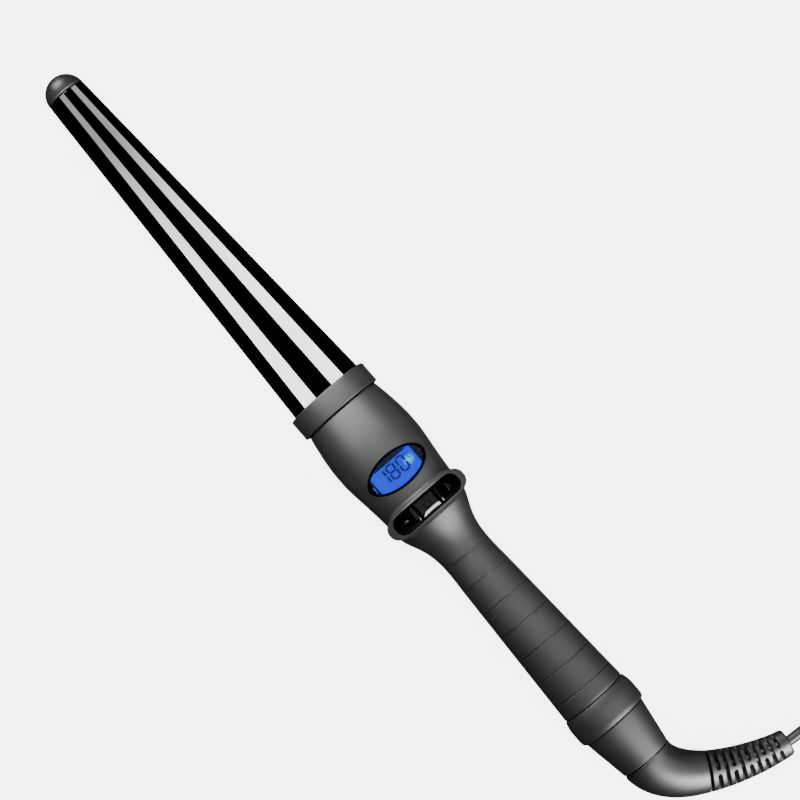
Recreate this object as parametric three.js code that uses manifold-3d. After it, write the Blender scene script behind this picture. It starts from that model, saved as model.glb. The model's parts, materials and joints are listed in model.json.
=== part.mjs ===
// A conical hair-curling wand with a digital display and a swivelling mains lead, in millimetres.
//
// The wand is modelled along its own axis: X runs from the barrel's front edge (station 0) to the
// lead, Y points to the side that the lead leaves by, and Z points up through the display and the
// buttons. The whole wand is then laid on a table (Z = 0), where it rests on its head and on its tail
// ring, and centred over the origin. The lead and its plug lie on the same table.

import * as THREE from 'three';
import { mergeVertices } from 'three/addons/utils/BufferGeometryUtils.js';
import Module from 'manifold-3d';

const wasm = await Module();
wasm.setup();

// ---------------------------------------------------------------- driving dimensions
const CLEARANCE = 0.3; // gap kept between neighbouring pieces
const FACETS = 28; // sides of a large turned piece
const MIDDLE_FACETS = 20;
const SMALL_FACETS = 12; // sides of a small turned piece
const CURVE_STEPS = 4; // straight steps along each curve of the handle's outline
const FAR = 60; // reach of a cutting block past the handle

const BARREL_LENGTH = 122.4; // shown in front of the collar
const BARREL_TIP_RADIUS = 6.6;
const BARREL_BASE_RADIUS = 12.5; // at the collar's front
const BARREL_TUCK = 4.6; // hidden inside the collar
const BARREL_WALL = 1.2;
const TIP_SPIGOT = 6; // length of the cap's spigot

const HEATER_START = 38;
const HEATER_LENGTH = 56;
const HEATER_WIDTH = 7.2;
const HEATER_THICKNESS = 2.4;
const HEATER_INSET = 2; // from the heat spreaders' ends
const FUSE_GAP = 4; // behind the heat spreaders
const FUSE_LENGTH = 10;
const FUSE_RADIUS = 1.7;
const THERMISTOR_AFTER_FUSE = 8; // from the fuse's start
const THERMISTOR_RADIUS = 1.3;
const LEAD_ASIDE = 3.2; // the heater leads, from the wand's axis
const LEAD_RADIUS = 0.8;
const SENSOR_LEAD_RADIUS = 0.6;

const MOUNT_BORE = 6;
const MOUNT_WALL = 3; // under the washer
const MOUNT_REACH = 12.6; // how far the mount enters the barrel
const MOUNT_TAIL = 8.4; // how far it enters the head
const MOUNT_RING_AT = 1.4; // its locating ring, from the head's start
const MOUNT_RING_WIDTH = 2;
const MOUNT_RING_PROUD = 1.6;
const WASHER_THICKNESS = 0.9;

const COLLAR_LENGTH = 7.1;
const COLLAR_RADIUS = 14.25;
const COLLAR_EDGE = 1; // rounding of its front edge

const SHELL_WALL = 2;
const SHOULDER_RADIUS = 13.1; // the head where it meets the collar
const BELLY_AT = 16; // from the head's start
const BELLY_RADIUS = 14.9;
const BELLY_FLAT = 3; // straight stretch at the widest place
const SHOULDER_EASE = 5; // pulls that shape the outline's curves, along the wand
const BELLY_EASE = 6;
const LIP_EASE = 12;
const NECK_EASE = 4;
const NECK_BLEND = 10; // from the neck to the grip's straight flank
const LIP_AT = 41; // where the head starts to fall to the neck
const LIP_RADIUS = 12.8;
const NECK_AT = 58.2;
const NECK_RADIUS = 8.4;
const GRIP_LENGTH = 116.3; // head and grip together
const GRIP_END_RADIUS = 11.15;
const SHELL_SPIGOT_RADIUS = 9.6; // the shells' rear spigot, inside the tail ring
const SHELL_SPIGOT_LENGTH = 6.8;
const SHELL_SPIGOT_WALL = 1.6;

const GROOVE_COUNT = 7;
const GROOVE_AT = 57.9; // first groove, from the head's start
const GROOVE_PITCH = 8.86;
const GROOVE_WIDTH = 0.5;
const GROOVE_DEPTH = 0.4;
const GROOVE_FADE = 1.1; // how much further out the groove's circle sits, so that it fades to the sides

const DISPLAY_AT = 24.9; // from the head's start
const DISPLAY_LENGTH = 20.9; // across the wand
const DISPLAY_WIDTH = 10.8;
const BEZEL_WIDTH = 0.7;
const LENS_THICKNESS = 1.25;
const LCD_LENGTH = 15.6;
const LCD_WIDTH = 9.8;
const LCD_THICKNESS = 1.2;
const LCD_MARGIN = 0.47; // from its corners up to the shell's inside
const BACKLIGHT_THICKNESS = 1.5;
const BACKLIGHT_BORDER = 0.4; // past the panel on every side

const BUTTON_AT = 38.8; // from the head's start
const PILL_LENGTH = 25.2; // the opening that holds the three buttons
const PILL_WIDTH = 6.7;
const PAD_LENGTH = 29.6; // the raised pad around the opening
const PAD_WIDTH = 9.2;
const PAD_RISE = 1.7; // over the head
const PAD_CROWN_RADIUS = 22;
const PAD_EDGE_DEPTH = 6.45; // from the pad's top to where its ends turn under
const BUTTON_GAP = 0.25; // around a button
const BUTTON_TRAVEL = 0.6;
const BUTTON_DEPTH = 5.65; // from the pad's top to the buttons' undersides
const STEM_WIDTH = 2.4;
const STEM_GAP = 0.4;
const SWITCH_PITCH = 7.4;
const BUTTONS = [
  { name: 'minus', side: -1 },
  { name: 'power', side: 0 },
  { name: 'plus', side: 1 },
];

const BOARD_THICKNESS = 1.6;
const CONTROL_BOARD_Z = 0.6;
const CONTROL_BOARD_START = 11.2; // from the head's start
const CONTROL_BOARD_LENGTH = 33;
const CONTROL_BOARD_MARGIN = 0.9; // from the board's edge to the shell's inside
const SWITCH_HEIGHT = 2;
const SWITCH_LENGTH = 4.4;
const SWITCH_WIDTH = 3.6;
const PLUNGER_RADIUS = 0.9;
const PLUNGER_PROUD = 1.1; // how far the plunger stands out of its switch

const POWER_BOARD_AFTER_NECK = 2.5;
const POWER_BOARD_LENGTH = 38;
const POWER_BOARD_MARGIN = 1.3;
const TRIAC_AT = 8; // stations on the power board, from its start
const MAINS_CAPACITOR_AT = 14;
const REAR_PARTS_AT = 25;
const REAR_PARTS_LENGTH = 9;
const BOARD_FUSE_RADIUS = 1.3;
const BOARD_PART_GAP = 0.7; // between the parts side by side on the power board
const POWER_BOARD_Z = -1.6;

const SCREW_HEAD_RADIUS = 2.3;
const SCREW_HEAD_HEIGHT = 1.6;
const SCREW_RADIUS = 1.15;
const SCREW_REACH = 4.6; // above the parting plane
const SCREW_SINK = 3.4; // from the handle's underside to the head's seat
const BOSS_RADIUS = 2.9;
const FRONT_SCREW_AT = 51.7; // from the head's start
const REAR_SCREW_AT = 106.8;

const TAIL_RING_LENGTH = 9;
const TAIL_RING_RADIUS = 12.1;
const TAIL_RING_FRONT_RADIUS = 11.4;
const TAIL_CONE_LENGTH = 14.7;
const TAIL_CONE_RADIUS = 11;
const TAIL_CONE_END_RADIUS = 8.7;
const TAIL_CONE_WALL = 3;
const TAIL_CONE_SPIGOT = 1.8;

const SWIVEL_NECK_RADIUS = 4.6;
const SWIVEL_NECK_BORE = 2.9;
const SWIVEL_NECK_TUCK = 5; // how deep it sits in the strain relief
const SWIVEL_FLANGE_RADIUS = 6.6;
const SWIVEL_FLANGE_THICKNESS = 2.4;
const RETAINER_THICKNESS = 1;
const HUB_RADIUS = 5;
const HUB_LENGTH = 10;
const CONTACT_RING_THICKNESS = 0.9;
const CONTACT_RING_WIDTH = 2.6;
const CENTRE_CONTACT_RADIUS = 2;
const CENTRE_CONTACT_LENGTH = 1.6;
const CENTRE_BRUSH_THICKNESS = 0.5;
const CARRIER_THICKNESS = 2.2;

// The strain relief's centre line, from where it leaves the tail cone: along the wand, to the side,
// and the heading away from the wand's axis.
const ELBOW_RADIUS = 8.7;
const BOOT_START = { along: 15.2, aside: 11.6, heading: 58.5 };
const BOOT_START_RADIUS = 6.4;
const BOOT_END = { along: 24.6, aside: 35.9, heading: 79.7 };
const BOOT_END_RADIUS = 4.2;
const SLOT_COUNT = 10;
const SLOT_PITCH = 2.48;
const SLOT_WIDTH = 1.2;
const SLOT_WEB = 2.3; // half thickness left at each slot

const CORD_WIDTH = 5.2; // flat two-core lead, on edge
const CORD_THICKNESS = 3.2;
const COIL_MEAN_RADIUS = 28.8;
const COIL_WIDTH = 17.4; // across its turns, side by side
const COIL_LAYERS = 2;
const COIL_LAYER_GAP = 0.1;
const COIL_OFF_TABLE = 1.2; // the tie passes under it
const TIE_WIDTH = 8;
const TIE_THICKNESS = 0.8;
const TIE_ANGLE = 115; // degrees round the coil from its -Y side

const PLUG_LENGTH = 30;
const PLUG_NOSE = 10; // tapered tail of the plug, around the lead
const PLUG_WIDTH = 34;
const PLUG_HEIGHT = 13.6;
const PIN_RADIUS = 2;
const PIN_LENGTH = 19;
const PIN_SPACING = 18.6;

// The lead's free run from the strain relief to its coil: two distances from its exit, in the table's
// X and Y, and a height above the table.
const CORD_ROUTE = [
  [0.6, 6, 10.4],
  [1.6, 12, 9],
  [4.2, 18.5, 7],
  [8.6, 24.5, 5.4],
  [14.4, 29.4, 4.4],
  [21.6, 32.9, 3.9],
  [30, 34.2, 3.8],
  [38, 34.4, 3.8],
  [46, 34.3, 3.8],
  [53.2, 34.2, 3.8],
];
const COIL_AHEAD = 16.4; // from the free run's end to the coil's centre, along the table's X
const COIL_GAP = 0.46; // between the free run's end and the coil

// The lead's end, from the coil's top turns to the plug: distances from the coil's centre, and the
// gap between the lead and the coil's top.
const CORD_END_ROUTE = [
  [-35, 3.5, 0.8],
  [-33.3, 13.2, 1.8],
  [-27.2, 21.6, 2.8],
  [-18.2, 26.4, 3.6],
  [-8.2, 26.6, 4.3],
  [0.6, 22.2, 4.6],
  [6, 14, 4.6],
];
const PLUG_FROM_COIL = [7.6, 9.6]; // where the lead enters the plug
const PLUG_HEADING = -81; // degrees from +X

// ---------------------------------------------------------------- derived stations
const HEAD_START = BARREL_LENGTH + COLLAR_LENGTH + CLEARANCE;
const BARREL_END = BARREL_LENGTH + BARREL_TUCK;
const NECK = HEAD_START + NECK_AT;
const GRIP_END = HEAD_START + GRIP_LENGTH;
const SPIGOT_END = GRIP_END + SHELL_SPIGOT_LENGTH;
const TAIL_RING_START = GRIP_END + CLEARANCE;
const TAIL_RING_END = TAIL_RING_START + TAIL_RING_LENGTH;
const TAIL_CONE_START = TAIL_RING_END + CLEARANCE;
const TAIL_CONE_END = TAIL_CONE_START + TAIL_CONE_LENGTH;
const ELBOW_START = TAIL_CONE_END + CLEARANCE;
const DISPLAY_X = HEAD_START + DISPLAY_AT;
const BUTTON_X = HEAD_START + BUTTON_AT;
const HEAD_AT_BUTTONS = LIP_RADIUS + 0.15;
const PAD_TOP = HEAD_AT_BUTTONS + PAD_RISE;
const PAD_EDGE_Z = PAD_TOP - PAD_EDGE_DEPTH;
const BUTTON_BASE_Z = PAD_TOP - BUTTON_DEPTH;
const BOARD_TOP = CONTROL_BOARD_Z + BOARD_THICKNESS;
const FUSE_START = HEATER_START + HEATER_LENGTH + FUSE_GAP;
const THERMISTOR_X = FUSE_START + THERMISTOR_AFTER_FUSE;
const POWER_BOARD_START = NECK + POWER_BOARD_AFTER_NECK;
const REST_TILT = Math.asin(
  (BELLY_RADIUS - TAIL_RING_RADIUS)
  / (TAIL_RING_START + TAIL_RING_LENGTH * 0.6 - HEAD_START - BELLY_AT),
);

// Stations of the swivel's stack, counted forward from the tail cone's end wall.
const FLANGE_END = TAIL_CONE_END - TAIL_CONE_WALL - CLEARANCE;
const FLANGE_START = FLANGE_END - SWIVEL_FLANGE_THICKNESS;
const RETAINER_END = FLANGE_START - CLEARANCE;
const HUB_END = FLANGE_START - CLEARANCE;
const HUB_START = HUB_END - HUB_LENGTH;
const CONTACT_RING_END = RETAINER_END - RETAINER_THICKNESS - 0.8;
const CONTACT_RING_START = CONTACT_RING_END - CONTACT_RING_WIDTH;
const CONTACT_RING_RADIUS = HUB_RADIUS + CLEARANCE + CONTACT_RING_THICKNESS;
const CENTRE_CONTACT_START = HUB_START - CLEARANCE - CENTRE_CONTACT_LENGTH;
const CENTRE_BRUSH_START = CENTRE_CONTACT_START - CLEARANCE - CENTRE_BRUSH_THICKNESS;
const CARRIER_END = CENTRE_BRUSH_START - CLEARANCE;

// ---------------------------------------------------------------- solids
function toSolid(geometry) {
  geometry.deleteAttribute('normal');
  geometry.deleteAttribute('uv');
  const merged = mergeVertices(geometry, 1e-4);
  const corners = merged.index.array;
  const triangles = [];
  for (let i = 0; i < corners.length; i += 3) {
    const [a, b, c] = [corners[i], corners[i + 1], corners[i + 2]];
    if (a !== b && b !== c && c !== a) {
      triangles.push(a, b, c);
    }
  }
  return new wasm.Manifold(new wasm.Mesh({
    numProp: 3,
    vertProperties: new Float32Array(merged.attributes.position.array),
    triVerts: new Uint32Array(triangles),
  }));
}

function toGeometry(solid) {
  const mesh = solid.getMesh();
  const geometry = new THREE.BufferGeometry();
  geometry.setAttribute('position', new THREE.BufferAttribute(mesh.vertProperties, 3));
  geometry.setIndex(new THREE.BufferAttribute(mesh.triVerts, 1));
  geometry.computeVertexNormals();
  return geometry;
}

// A solid turned about the wand's axis from [station, radius] points. A flat facet faces the table.
function turned(points, facets = FACETS) {
  const outline = points.map(([station, radius]) => new THREE.Vector2(radius, station));
  const onAxis = points[0][1] === 0 && points.at(-1)[1] === 0;
  if (!onAxis) {
    outline.push(outline[0].clone());
  }
  const geometry = new THREE.LatheGeometry(outline, facets, Math.PI / facets);
  geometry.rotateZ(-Math.PI / 2);
  return toSolid(geometry);
}

function tubeBetween(start, end, inner, outer, facets = FACETS) {
  return turned([[start, inner], [start, outer], [end, outer], [end, inner]], facets);
}

function discBetween(start, end, radius, facets = FACETS) {
  return turned([[start, 0], [start, radius], [end, radius], [end, 0]], facets);
}

function block(x0, x1, y0, y1, z0, z1) {
  const geometry = new THREE.BoxGeometry(x1 - x0, y1 - y0, z1 - z0);
  geometry.translate((x0 + x1) / 2, (y0 + y1) / 2, (z0 + z1) / 2);
  return toSolid(geometry);
}

// A round post standing along Z.
function post(x, y, z0, z1, radius, facets = SMALL_FACETS) {
  const geometry = new THREE.CylinderGeometry(radius, radius, z1 - z0, facets);
  geometry.rotateX(Math.PI / 2);
  geometry.translate(x, y, (z0 + z1) / 2);
  return toSolid(geometry);
}

// A flat outline in X and Y raised along Z.
function prism(shape, z0, z1, curveSegments = 7) {
  const geometry = new THREE.ExtrudeGeometry(shape, {
    depth: z1 - z0,
    bevelEnabled: false,
    curveSegments,
  });
  geometry.translate(0, 0, z0);
  return toSolid(geometry);
}

function ellipse(x, width, length) {
  const shape = new THREE.Shape();
  shape.absellipse(x, 0, width / 2, length / 2, 0, 2 * Math.PI);
  return shape;
}

// A stadium across the wand, with round ends.
function stadium(x, width, length) {
  const radius = width / 2;
  const reach = length / 2 - radius;
  const shape = new THREE.Shape();
  shape.absarc(x, reach, radius, 0, Math.PI);
  shape.absarc(x, -reach, radius, Math.PI, 2 * Math.PI);
  return shape;
}

// A body along a curve. At each step its section is an oval around the curve, with a level half width
// and an upright half height that may change on the way.
function loft(curve, sectionAt, steps, sides) {
  const positions = [];
  const index = [];
  for (let i = 0; i <= steps; i += 1) {
    const centre = curve.getPointAt(i / steps);
    const heading = curve.getTangentAt(i / steps);
    const level = new THREE.Vector3(-heading.y, heading.x, 0).normalize();
    const upright = new THREE.Vector3().crossVectors(heading, level);
    const [halfWidth, halfHeight] = sectionAt(i / steps);
    for (let j = 0; j < sides; j += 1) {
      const angle = (2 * Math.PI * (j + 0.5)) / sides;
      const corner = centre.clone()
        .addScaledVector(level, halfWidth * Math.cos(angle))
        .addScaledVector(upright, halfHeight * Math.sin(angle));
      positions.push(corner.x, corner.y, corner.z);
    }
  }
  for (let i = 0; i < steps; i += 1) {
    for (let j = 0; j < sides; j += 1) {
      const here = i * sides + j;
      const next = i * sides + ((j + 1) % sides);
      index.push(here, next, next + sides);
      index.push(here, next + sides, here + sides);
    }
  }
  for (let j = 1; j < sides - 1; j += 1) {
    const last = steps * sides;
    index.push(0, j + 1, j);
    index.push(last, last + j, last + j + 1);
  }
  const geometry = new THREE.BufferGeometry();
  geometry.setAttribute('position', new THREE.Float32BufferAttribute(positions, 3));
  geometry.setIndex(index);
  return toSolid(geometry);
}

// A round or flat wire along a smooth curve through the points. Its flats lie at the half sizes.
function wire(points, halfHeight, halfWidth = halfHeight, steps = 24, sides = 8) {
  const curve = new THREE.CatmullRomCurve3(points.map((point) => new THREE.Vector3(...point)));
  const grow = 1 / Math.cos(Math.PI / sides);
  return loft(curve, () => [halfWidth * grow, halfHeight * grow], steps, sides);
}

// ---------------------------------------------------------------- assembly groups
const assembly = new THREE.Group();
const wand = new THREE.Group();
const lead = new THREE.Group();
assembly.add(wand, lead);

function addPiece(group, name, solid, color, roughness, metalness = 0) {
  const material = new THREE.MeshStandardMaterial({ color, roughness, metalness });
  const mesh = new THREE.Mesh(toGeometry(solid), material);
  mesh.name = name;
  group.add(mesh);
}

const SOFT_BLACK = 0x2b2b2d;
const GLOSS_BLACK = 0x070708;
const ALUMINIUM = 0xb9bcc0;
const BRASS = 0xc9a24a;
const STEEL = 0x9a9da2;
const BOARD_GREEN = 0x1d5a34;

// ---------------------------------------------------------------- barrel
function barrelRadius(station) {
  return BARREL_TIP_RADIUS
    + ((BARREL_BASE_RADIUS - BARREL_TIP_RADIUS) * station) / BARREL_LENGTH;
}

function barrelInner(station) {
  return barrelRadius(station) - BARREL_WALL;
}

function tipCap() {
  const dome = [];
  const steps = 6;
  for (let i = 0; i <= steps; i += 1) {
    const angle = (Math.PI / 2) * (i / steps);
    dome.push([
      -CLEARANCE - BARREL_TIP_RADIUS * Math.cos(angle),
      i === 0 ? 0 : BARREL_TIP_RADIUS * Math.sin(angle),
    ]);
  }
  const spigotRadius = barrelInner(0) - CLEARANCE;
  return turned([...dome, [-CLEARANCE, spigotRadius], [TIP_SPIGOT, spigotRadius], [TIP_SPIGOT, 0]]);
}

function barrelTube() {
  return turned([
    [0, barrelInner(0)],
    [0, barrelRadius(0)],
    [BARREL_END, barrelRadius(BARREL_END)],
    [BARREL_END, barrelInner(BARREL_END)],
  ]);
}

// One of the two half-round bars that carry the heat from the ceramic heater to the barrel.
function heatSpreader(side) {
  const end = HEATER_START + HEATER_LENGTH;
  const bar = turned([
    [HEATER_START, 0],
    [HEATER_START, barrelInner(HEATER_START) - CLEARANCE],
    [end, barrelInner(end) - CLEARANCE],
    [end, 0],
  ], SMALL_FACETS);
  const seat = HEATER_THICKNESS / 2 + CLEARANCE;
  const half = side > 0
    ? block(0, BARREL_END, -FAR, FAR, seat, FAR)
    : block(0, BARREL_END, -FAR, FAR, -FAR, -seat);
  return bar.intersect(half);
}

function ceramicHeater() {
  const half = HEATER_WIDTH / 2;
  const thick = HEATER_THICKNESS / 2;
  return block(
    HEATER_START + HEATER_INSET, HEATER_START + HEATER_LENGTH - HEATER_INSET,
    -half, half, -thick, thick);
}

function thermalFuse() {
  const body = discBetween(FUSE_START, FUSE_START + FUSE_LENGTH, FUSE_RADIUS, SMALL_FACETS);
  const wireEnd = discBetween(HEATER_START + HEATER_LENGTH, FUSE_START + 1, 0.5, 8);
  return body.add(wireEnd).translate([0, -LEAD_ASIDE, 0]);
}

function thermistorHeight() {
  return barrelInner(THERMISTOR_X) - THERMISTOR_RADIUS - 1;
}

function thermistor() {
  const bead = new THREE.SphereGeometry(THERMISTOR_RADIUS, 8, 6);
  bead.translate(THERMISTOR_X, 0, thermistorHeight());
  return toSolid(bead);
}

function addBarrel() {
  addPiece(wand, 'tip_cap', tipCap(), 0x4a4a4d, 0.45);
  addPiece(wand, 'barrel_tube', barrelTube(), GLOSS_BLACK, 0.12, 0.4);
  addPiece(wand, 'heat_spreader_upper', heatSpreader(1), ALUMINIUM, 0.4, 1);
  addPiece(wand, 'heat_spreader_lower', heatSpreader(-1), ALUMINIUM, 0.4, 1);
  addPiece(wand, 'ptc_heater', ceramicHeater(), 0xd8d2c4, 0.7);
  addPiece(wand, 'thermal_fuse', thermalFuse(), STEEL, 0.35, 1);
  addPiece(wand, 'thermistor', thermistor(), 0x30302e, 0.6);
}

// ---------------------------------------------------------------- barrel mount and collar
function insulatingWasher() {
  const start = BARREL_END + CLEARANCE;
  return tubeBetween(
    start, start + WASHER_THICKNESS, MOUNT_BORE + MOUNT_WALL, barrelRadius(BARREL_LENGTH));
}

// The heat-proof mount: a front spigot in the barrel, a flange behind the washer, and a rear spigot
// with a locating ring that the two shells close around.
function barrelMount() {
  const front = BARREL_END - MOUNT_REACH;
  const spigotRadius = barrelInner(front) - CLEARANCE;
  const innerOfWasher = Math.min(spigotRadius, MOUNT_BORE + MOUNT_WALL - CLEARANCE);
  const flangeStart = BARREL_END + WASHER_THICKNESS + 2 * CLEARANCE;
  const flangeEnd = HEAD_START - CLEARANCE;
  const tail = HEAD_START + MOUNT_TAIL;
  const ringStart = HEAD_START + MOUNT_RING_AT;
  const ringEnd = ringStart + MOUNT_RING_WIDTH;
  const ringRadius = SHOULDER_RADIUS - SHELL_WALL - CLEARANCE;
  const tailRadius = ringRadius - MOUNT_RING_PROUD;
  return turned([
    [front, MOUNT_BORE],
    [front, spigotRadius],
    [BARREL_END - 2, spigotRadius],
    [BARREL_END - 2, innerOfWasher],
    [flangeStart, innerOfWasher],
    [flangeStart, BARREL_BASE_RADIUS],
    [flangeEnd, BARREL_BASE_RADIUS],
    [flangeEnd, tailRadius],
    [ringStart, tailRadius],
    [ringStart, ringRadius],
    [ringEnd, ringRadius],
    [ringEnd, tailRadius],
    [tail, tailRadius],
    [tail, MOUNT_BORE],
  ], MIDDLE_FACETS);
}

function collarRing() {
  const end = BARREL_LENGTH + COLLAR_LENGTH;
  const edge = [];
  const steps = 3;
  for (let i = 0; i <= steps; i += 1) {
    const angle = (Math.PI / 2) * (i / steps);
    edge.push([
      BARREL_LENGTH + COLLAR_EDGE * (1 - Math.sin(angle)),
      COLLAR_RADIUS - COLLAR_EDGE * (1 - Math.cos(angle)),
    ]);
  }
  edge.reverse();
  return turned([
    [BARREL_LENGTH, barrelRadius(BARREL_LENGTH) + CLEARANCE],
    ...edge,
    [end, COLLAR_RADIUS],
    [end, barrelRadius(end) + CLEARANCE],
  ]);
}

function addCollar() {
  addPiece(wand, 'insulating_washer', insulatingWasher(), 0xc9b68a, 0.8);
  addPiece(wand, 'barrel_mount', barrelMount(), 0x3a352e, 0.6);
  addPiece(wand, 'collar_ring', collarRing(), SOFT_BLACK, 0.5);
}

// ---------------------------------------------------------------- handle shells
// The radius of the grip's straight flank.
function gripRadius(station) {
  return NECK_RADIUS + ((GRIP_END_RADIUS - NECK_RADIUS) * (station - NECK)) / (GRIP_END - NECK);
}

// The handle's outline as [station, radius] points, moved in or out by an offset.
function handleOutline(offset = 0) {
  const path = new THREE.Path();
  const belly = HEAD_START + BELLY_AT;
  const lip = HEAD_START + LIP_AT;
  const fall = NECK - lip;
  const gripFrom = NECK + NECK_BLEND;
  path.moveTo(HEAD_START, SHOULDER_RADIUS);
  path.bezierCurveTo(
    HEAD_START + SHOULDER_EASE, SHOULDER_RADIUS + 1,
    belly - SHOULDER_EASE, BELLY_RADIUS,
    belly - BELLY_FLAT / 2, BELLY_RADIUS,
  );
  path.lineTo(belly + BELLY_FLAT / 2, BELLY_RADIUS);
  path.bezierCurveTo(
    belly + BELLY_EASE, BELLY_RADIUS,
    lip - LIP_EASE, LIP_RADIUS + 0.5,
    lip, LIP_RADIUS,
  );
  path.bezierCurveTo(
    lip + fall * 0.26, LIP_RADIUS - 0.2,
    lip + fall * 0.4, NECK_RADIUS,
    NECK, NECK_RADIUS,
  );
  path.bezierCurveTo(
    NECK + NECK_EASE, NECK_RADIUS,
    gripFrom - NECK_EASE, gripRadius(gripFrom - NECK_EASE),
    gripFrom, gripRadius(gripFrom),
  );
  path.lineTo(GRIP_END, GRIP_END_RADIUS);
  return path.getPoints(CURVE_STEPS).map((point) => [point.x, point.y + offset]);
}

function handleBody(offset) {
  return turned([[HEAD_START, 0], ...handleOutline(offset), [GRIP_END, 0]]);
}

// The layer of the handle between two depths below its surface.
function handleSkin(outerOffset, innerOffset) {
  return handleBody(outerOffset).subtract(handleBody(innerOffset));
}

function shellBody() {
  const spigotInner = SHELL_SPIGOT_RADIUS - SHELL_SPIGOT_WALL;
  const inside = handleOutline(-SHELL_WALL).filter(([station]) => station < GRIP_END);
  return turned([
    ...handleOutline(),
    [GRIP_END, SHELL_SPIGOT_RADIUS],
    [SPIGOT_END, SHELL_SPIGOT_RADIUS],
    [SPIGOT_END, spigotInner],
    [GRIP_END - 3, spigotInner],
    [GRIP_END - 3, GRIP_END_RADIUS - SHELL_WALL - 0.2],
    ...inside.reverse(),
  ]);
}

// The raised pad: flat-crowned across the wand, its ends turned under to the head.
function buttonPad() {
  const section = new THREE.Shape();
  const half = PAD_LENGTH / 2;
  const crownCentre = PAD_TOP - PAD_CROWN_RADIUS;
  const cornerZ = crownCentre + Math.sqrt(PAD_CROWN_RADIUS ** 2 - (half - 0.8) ** 2);
  const sweep = Math.asin((half - 0.8) / PAD_CROWN_RADIUS);
  section.moveTo(-half + 2, 0);
  section.lineTo(-half, PAD_EDGE_Z);
  section.lineTo(-half + 0.8, cornerZ);
  section.absarc(0, crownCentre, PAD_CROWN_RADIUS, Math.PI / 2 + sweep, Math.PI / 2 - sweep, true);
  section.lineTo(half, PAD_EDGE_Z);
  section.lineTo(half - 2, 0);
  const across = new THREE.ExtrudeGeometry(section, {
    depth: PAD_WIDTH + 2,
    bevelEnabled: false,
    curveSegments: 10,
  });
  across.rotateX(Math.PI / 2);
  across.rotateZ(Math.PI / 2);
  across.translate(BUTTON_X - PAD_WIDTH / 2 - 1, 0, 0);
  return toSolid(across).intersect(prism(stadium(BUTTON_X, PAD_WIDTH, PAD_LENGTH), -1, FAR));
}

function gripGrooves() {
  let cuts = null;
  for (let i = 0; i < GROOVE_COUNT; i += 1) {
    const station = HEAD_START + GROOVE_AT + i * GROOVE_PITCH;
    const floor = gripRadius(station) - GROOVE_DEPTH + GROOVE_FADE;
    const cut = tubeBetween(station - GROOVE_WIDTH / 2, station + GROOVE_WIDTH / 2, floor, floor + 3)
      .translate([0, 0, -GROOVE_FADE]);
    cuts = cuts ? cuts.add(cut) : cut;
  }
  return cuts;
}

function screwStations() {
  return [HEAD_START + FRONT_SCREW_AT, HEAD_START + REAR_SCREW_AT];
}

// The handle's outside radius at a station, read off its outline.
function handleRadius(station) {
  const outline = handleOutline();
  const after = outline.findIndex(([along]) => along >= station);
  const [x0, r0] = outline[after - 1];
  const [x1, r1] = outline[after];
  return r0 + ((r1 - r0) * (station - x0)) / (x1 - x0);
}

// How far the space inside the shells reaches at a station, measured at a distance off the axis.
function room(station, offAxis) {
  return Math.sqrt((handleRadius(station) - SHELL_WALL) ** 2 - offAxis ** 2);
}

function seatHeight(station) {
  return SCREW_SINK - handleRadius(station);
}

function frontShell() {
  const pocketZ = BUTTON_BASE_Z - BUTTON_TRAVEL - 0.4;
  let shell = shellBody();
  shell = shell.add(buttonPad().subtract(handleBody(-SHELL_WALL)));
  for (const station of screwStations()) {
    const boss = post(station, 0, 0, FAR, BOSS_RADIUS).intersect(handleBody(-SHELL_WALL / 2));
    const pilot = post(station, 0, -1, SCREW_REACH + 0.6, SCREW_RADIUS + CLEARANCE, 10);
    shell = shell.add(boss).subtract(pilot);
  }
  shell = shell.subtract(prism(
    ellipse(DISPLAY_X, DISPLAY_WIDTH + 2 * CLEARANCE, DISPLAY_LENGTH + 2 * CLEARANCE), 3, FAR));
  shell = shell.subtract(prism(stadium(BUTTON_X, PILL_WIDTH, PILL_LENGTH), pocketZ, FAR));
  const stemHole = STEM_WIDTH / 2 + STEM_GAP;
  for (const side of [-1, 0, 1]) {
    const y = side * SWITCH_PITCH;
    shell = shell.subtract(
      block(BUTTON_X - stemHole, BUTTON_X + stemHole, y - stemHole, y + stemHole, 3, FAR));
  }
  shell = shell.subtract(gripGrooves());
  return shell.intersect(block(0, SPIGOT_END + 1, -FAR, FAR, CLEARANCE / 2, FAR));
}

function backShell() {
  let shell = shellBody();
  for (const station of screwStations()) {
    const seat = seatHeight(station);
    const boss = post(station, 0, -FAR, 0, BOSS_RADIUS + 0.4).intersect(handleBody(-SHELL_WALL / 2));
    const sink = post(station, 0, -FAR, seat, SCREW_HEAD_RADIUS + CLEARANCE);
    const hole = post(station, 0, -FAR, 1, SCREW_RADIUS + CLEARANCE, 10);
    shell = shell.add(boss).subtract(sink).subtract(hole);
  }
  return shell.intersect(block(0, SPIGOT_END + 1, -FAR, FAR, -FAR, -CLEARANCE / 2));
}

function shellScrew(station) {
  const top = seatHeight(station) - CLEARANCE;
  const head = post(station, 0, top - SCREW_HEAD_HEIGHT, top, SCREW_HEAD_RADIUS);
  const shank = post(station, 0, top - 0.2, SCREW_REACH, SCREW_RADIUS, 12);
  const slot = block(station - 1.6, station + 1.6, -0.3, 0.3, -FAR, top - SCREW_HEAD_HEIGHT + 0.7);
  const cross = block(station - 0.3, station + 0.3, -1.6, 1.6, -FAR, top - SCREW_HEAD_HEIGHT + 0.7);
  return head.add(shank).subtract(slot).subtract(cross);
}

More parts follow.
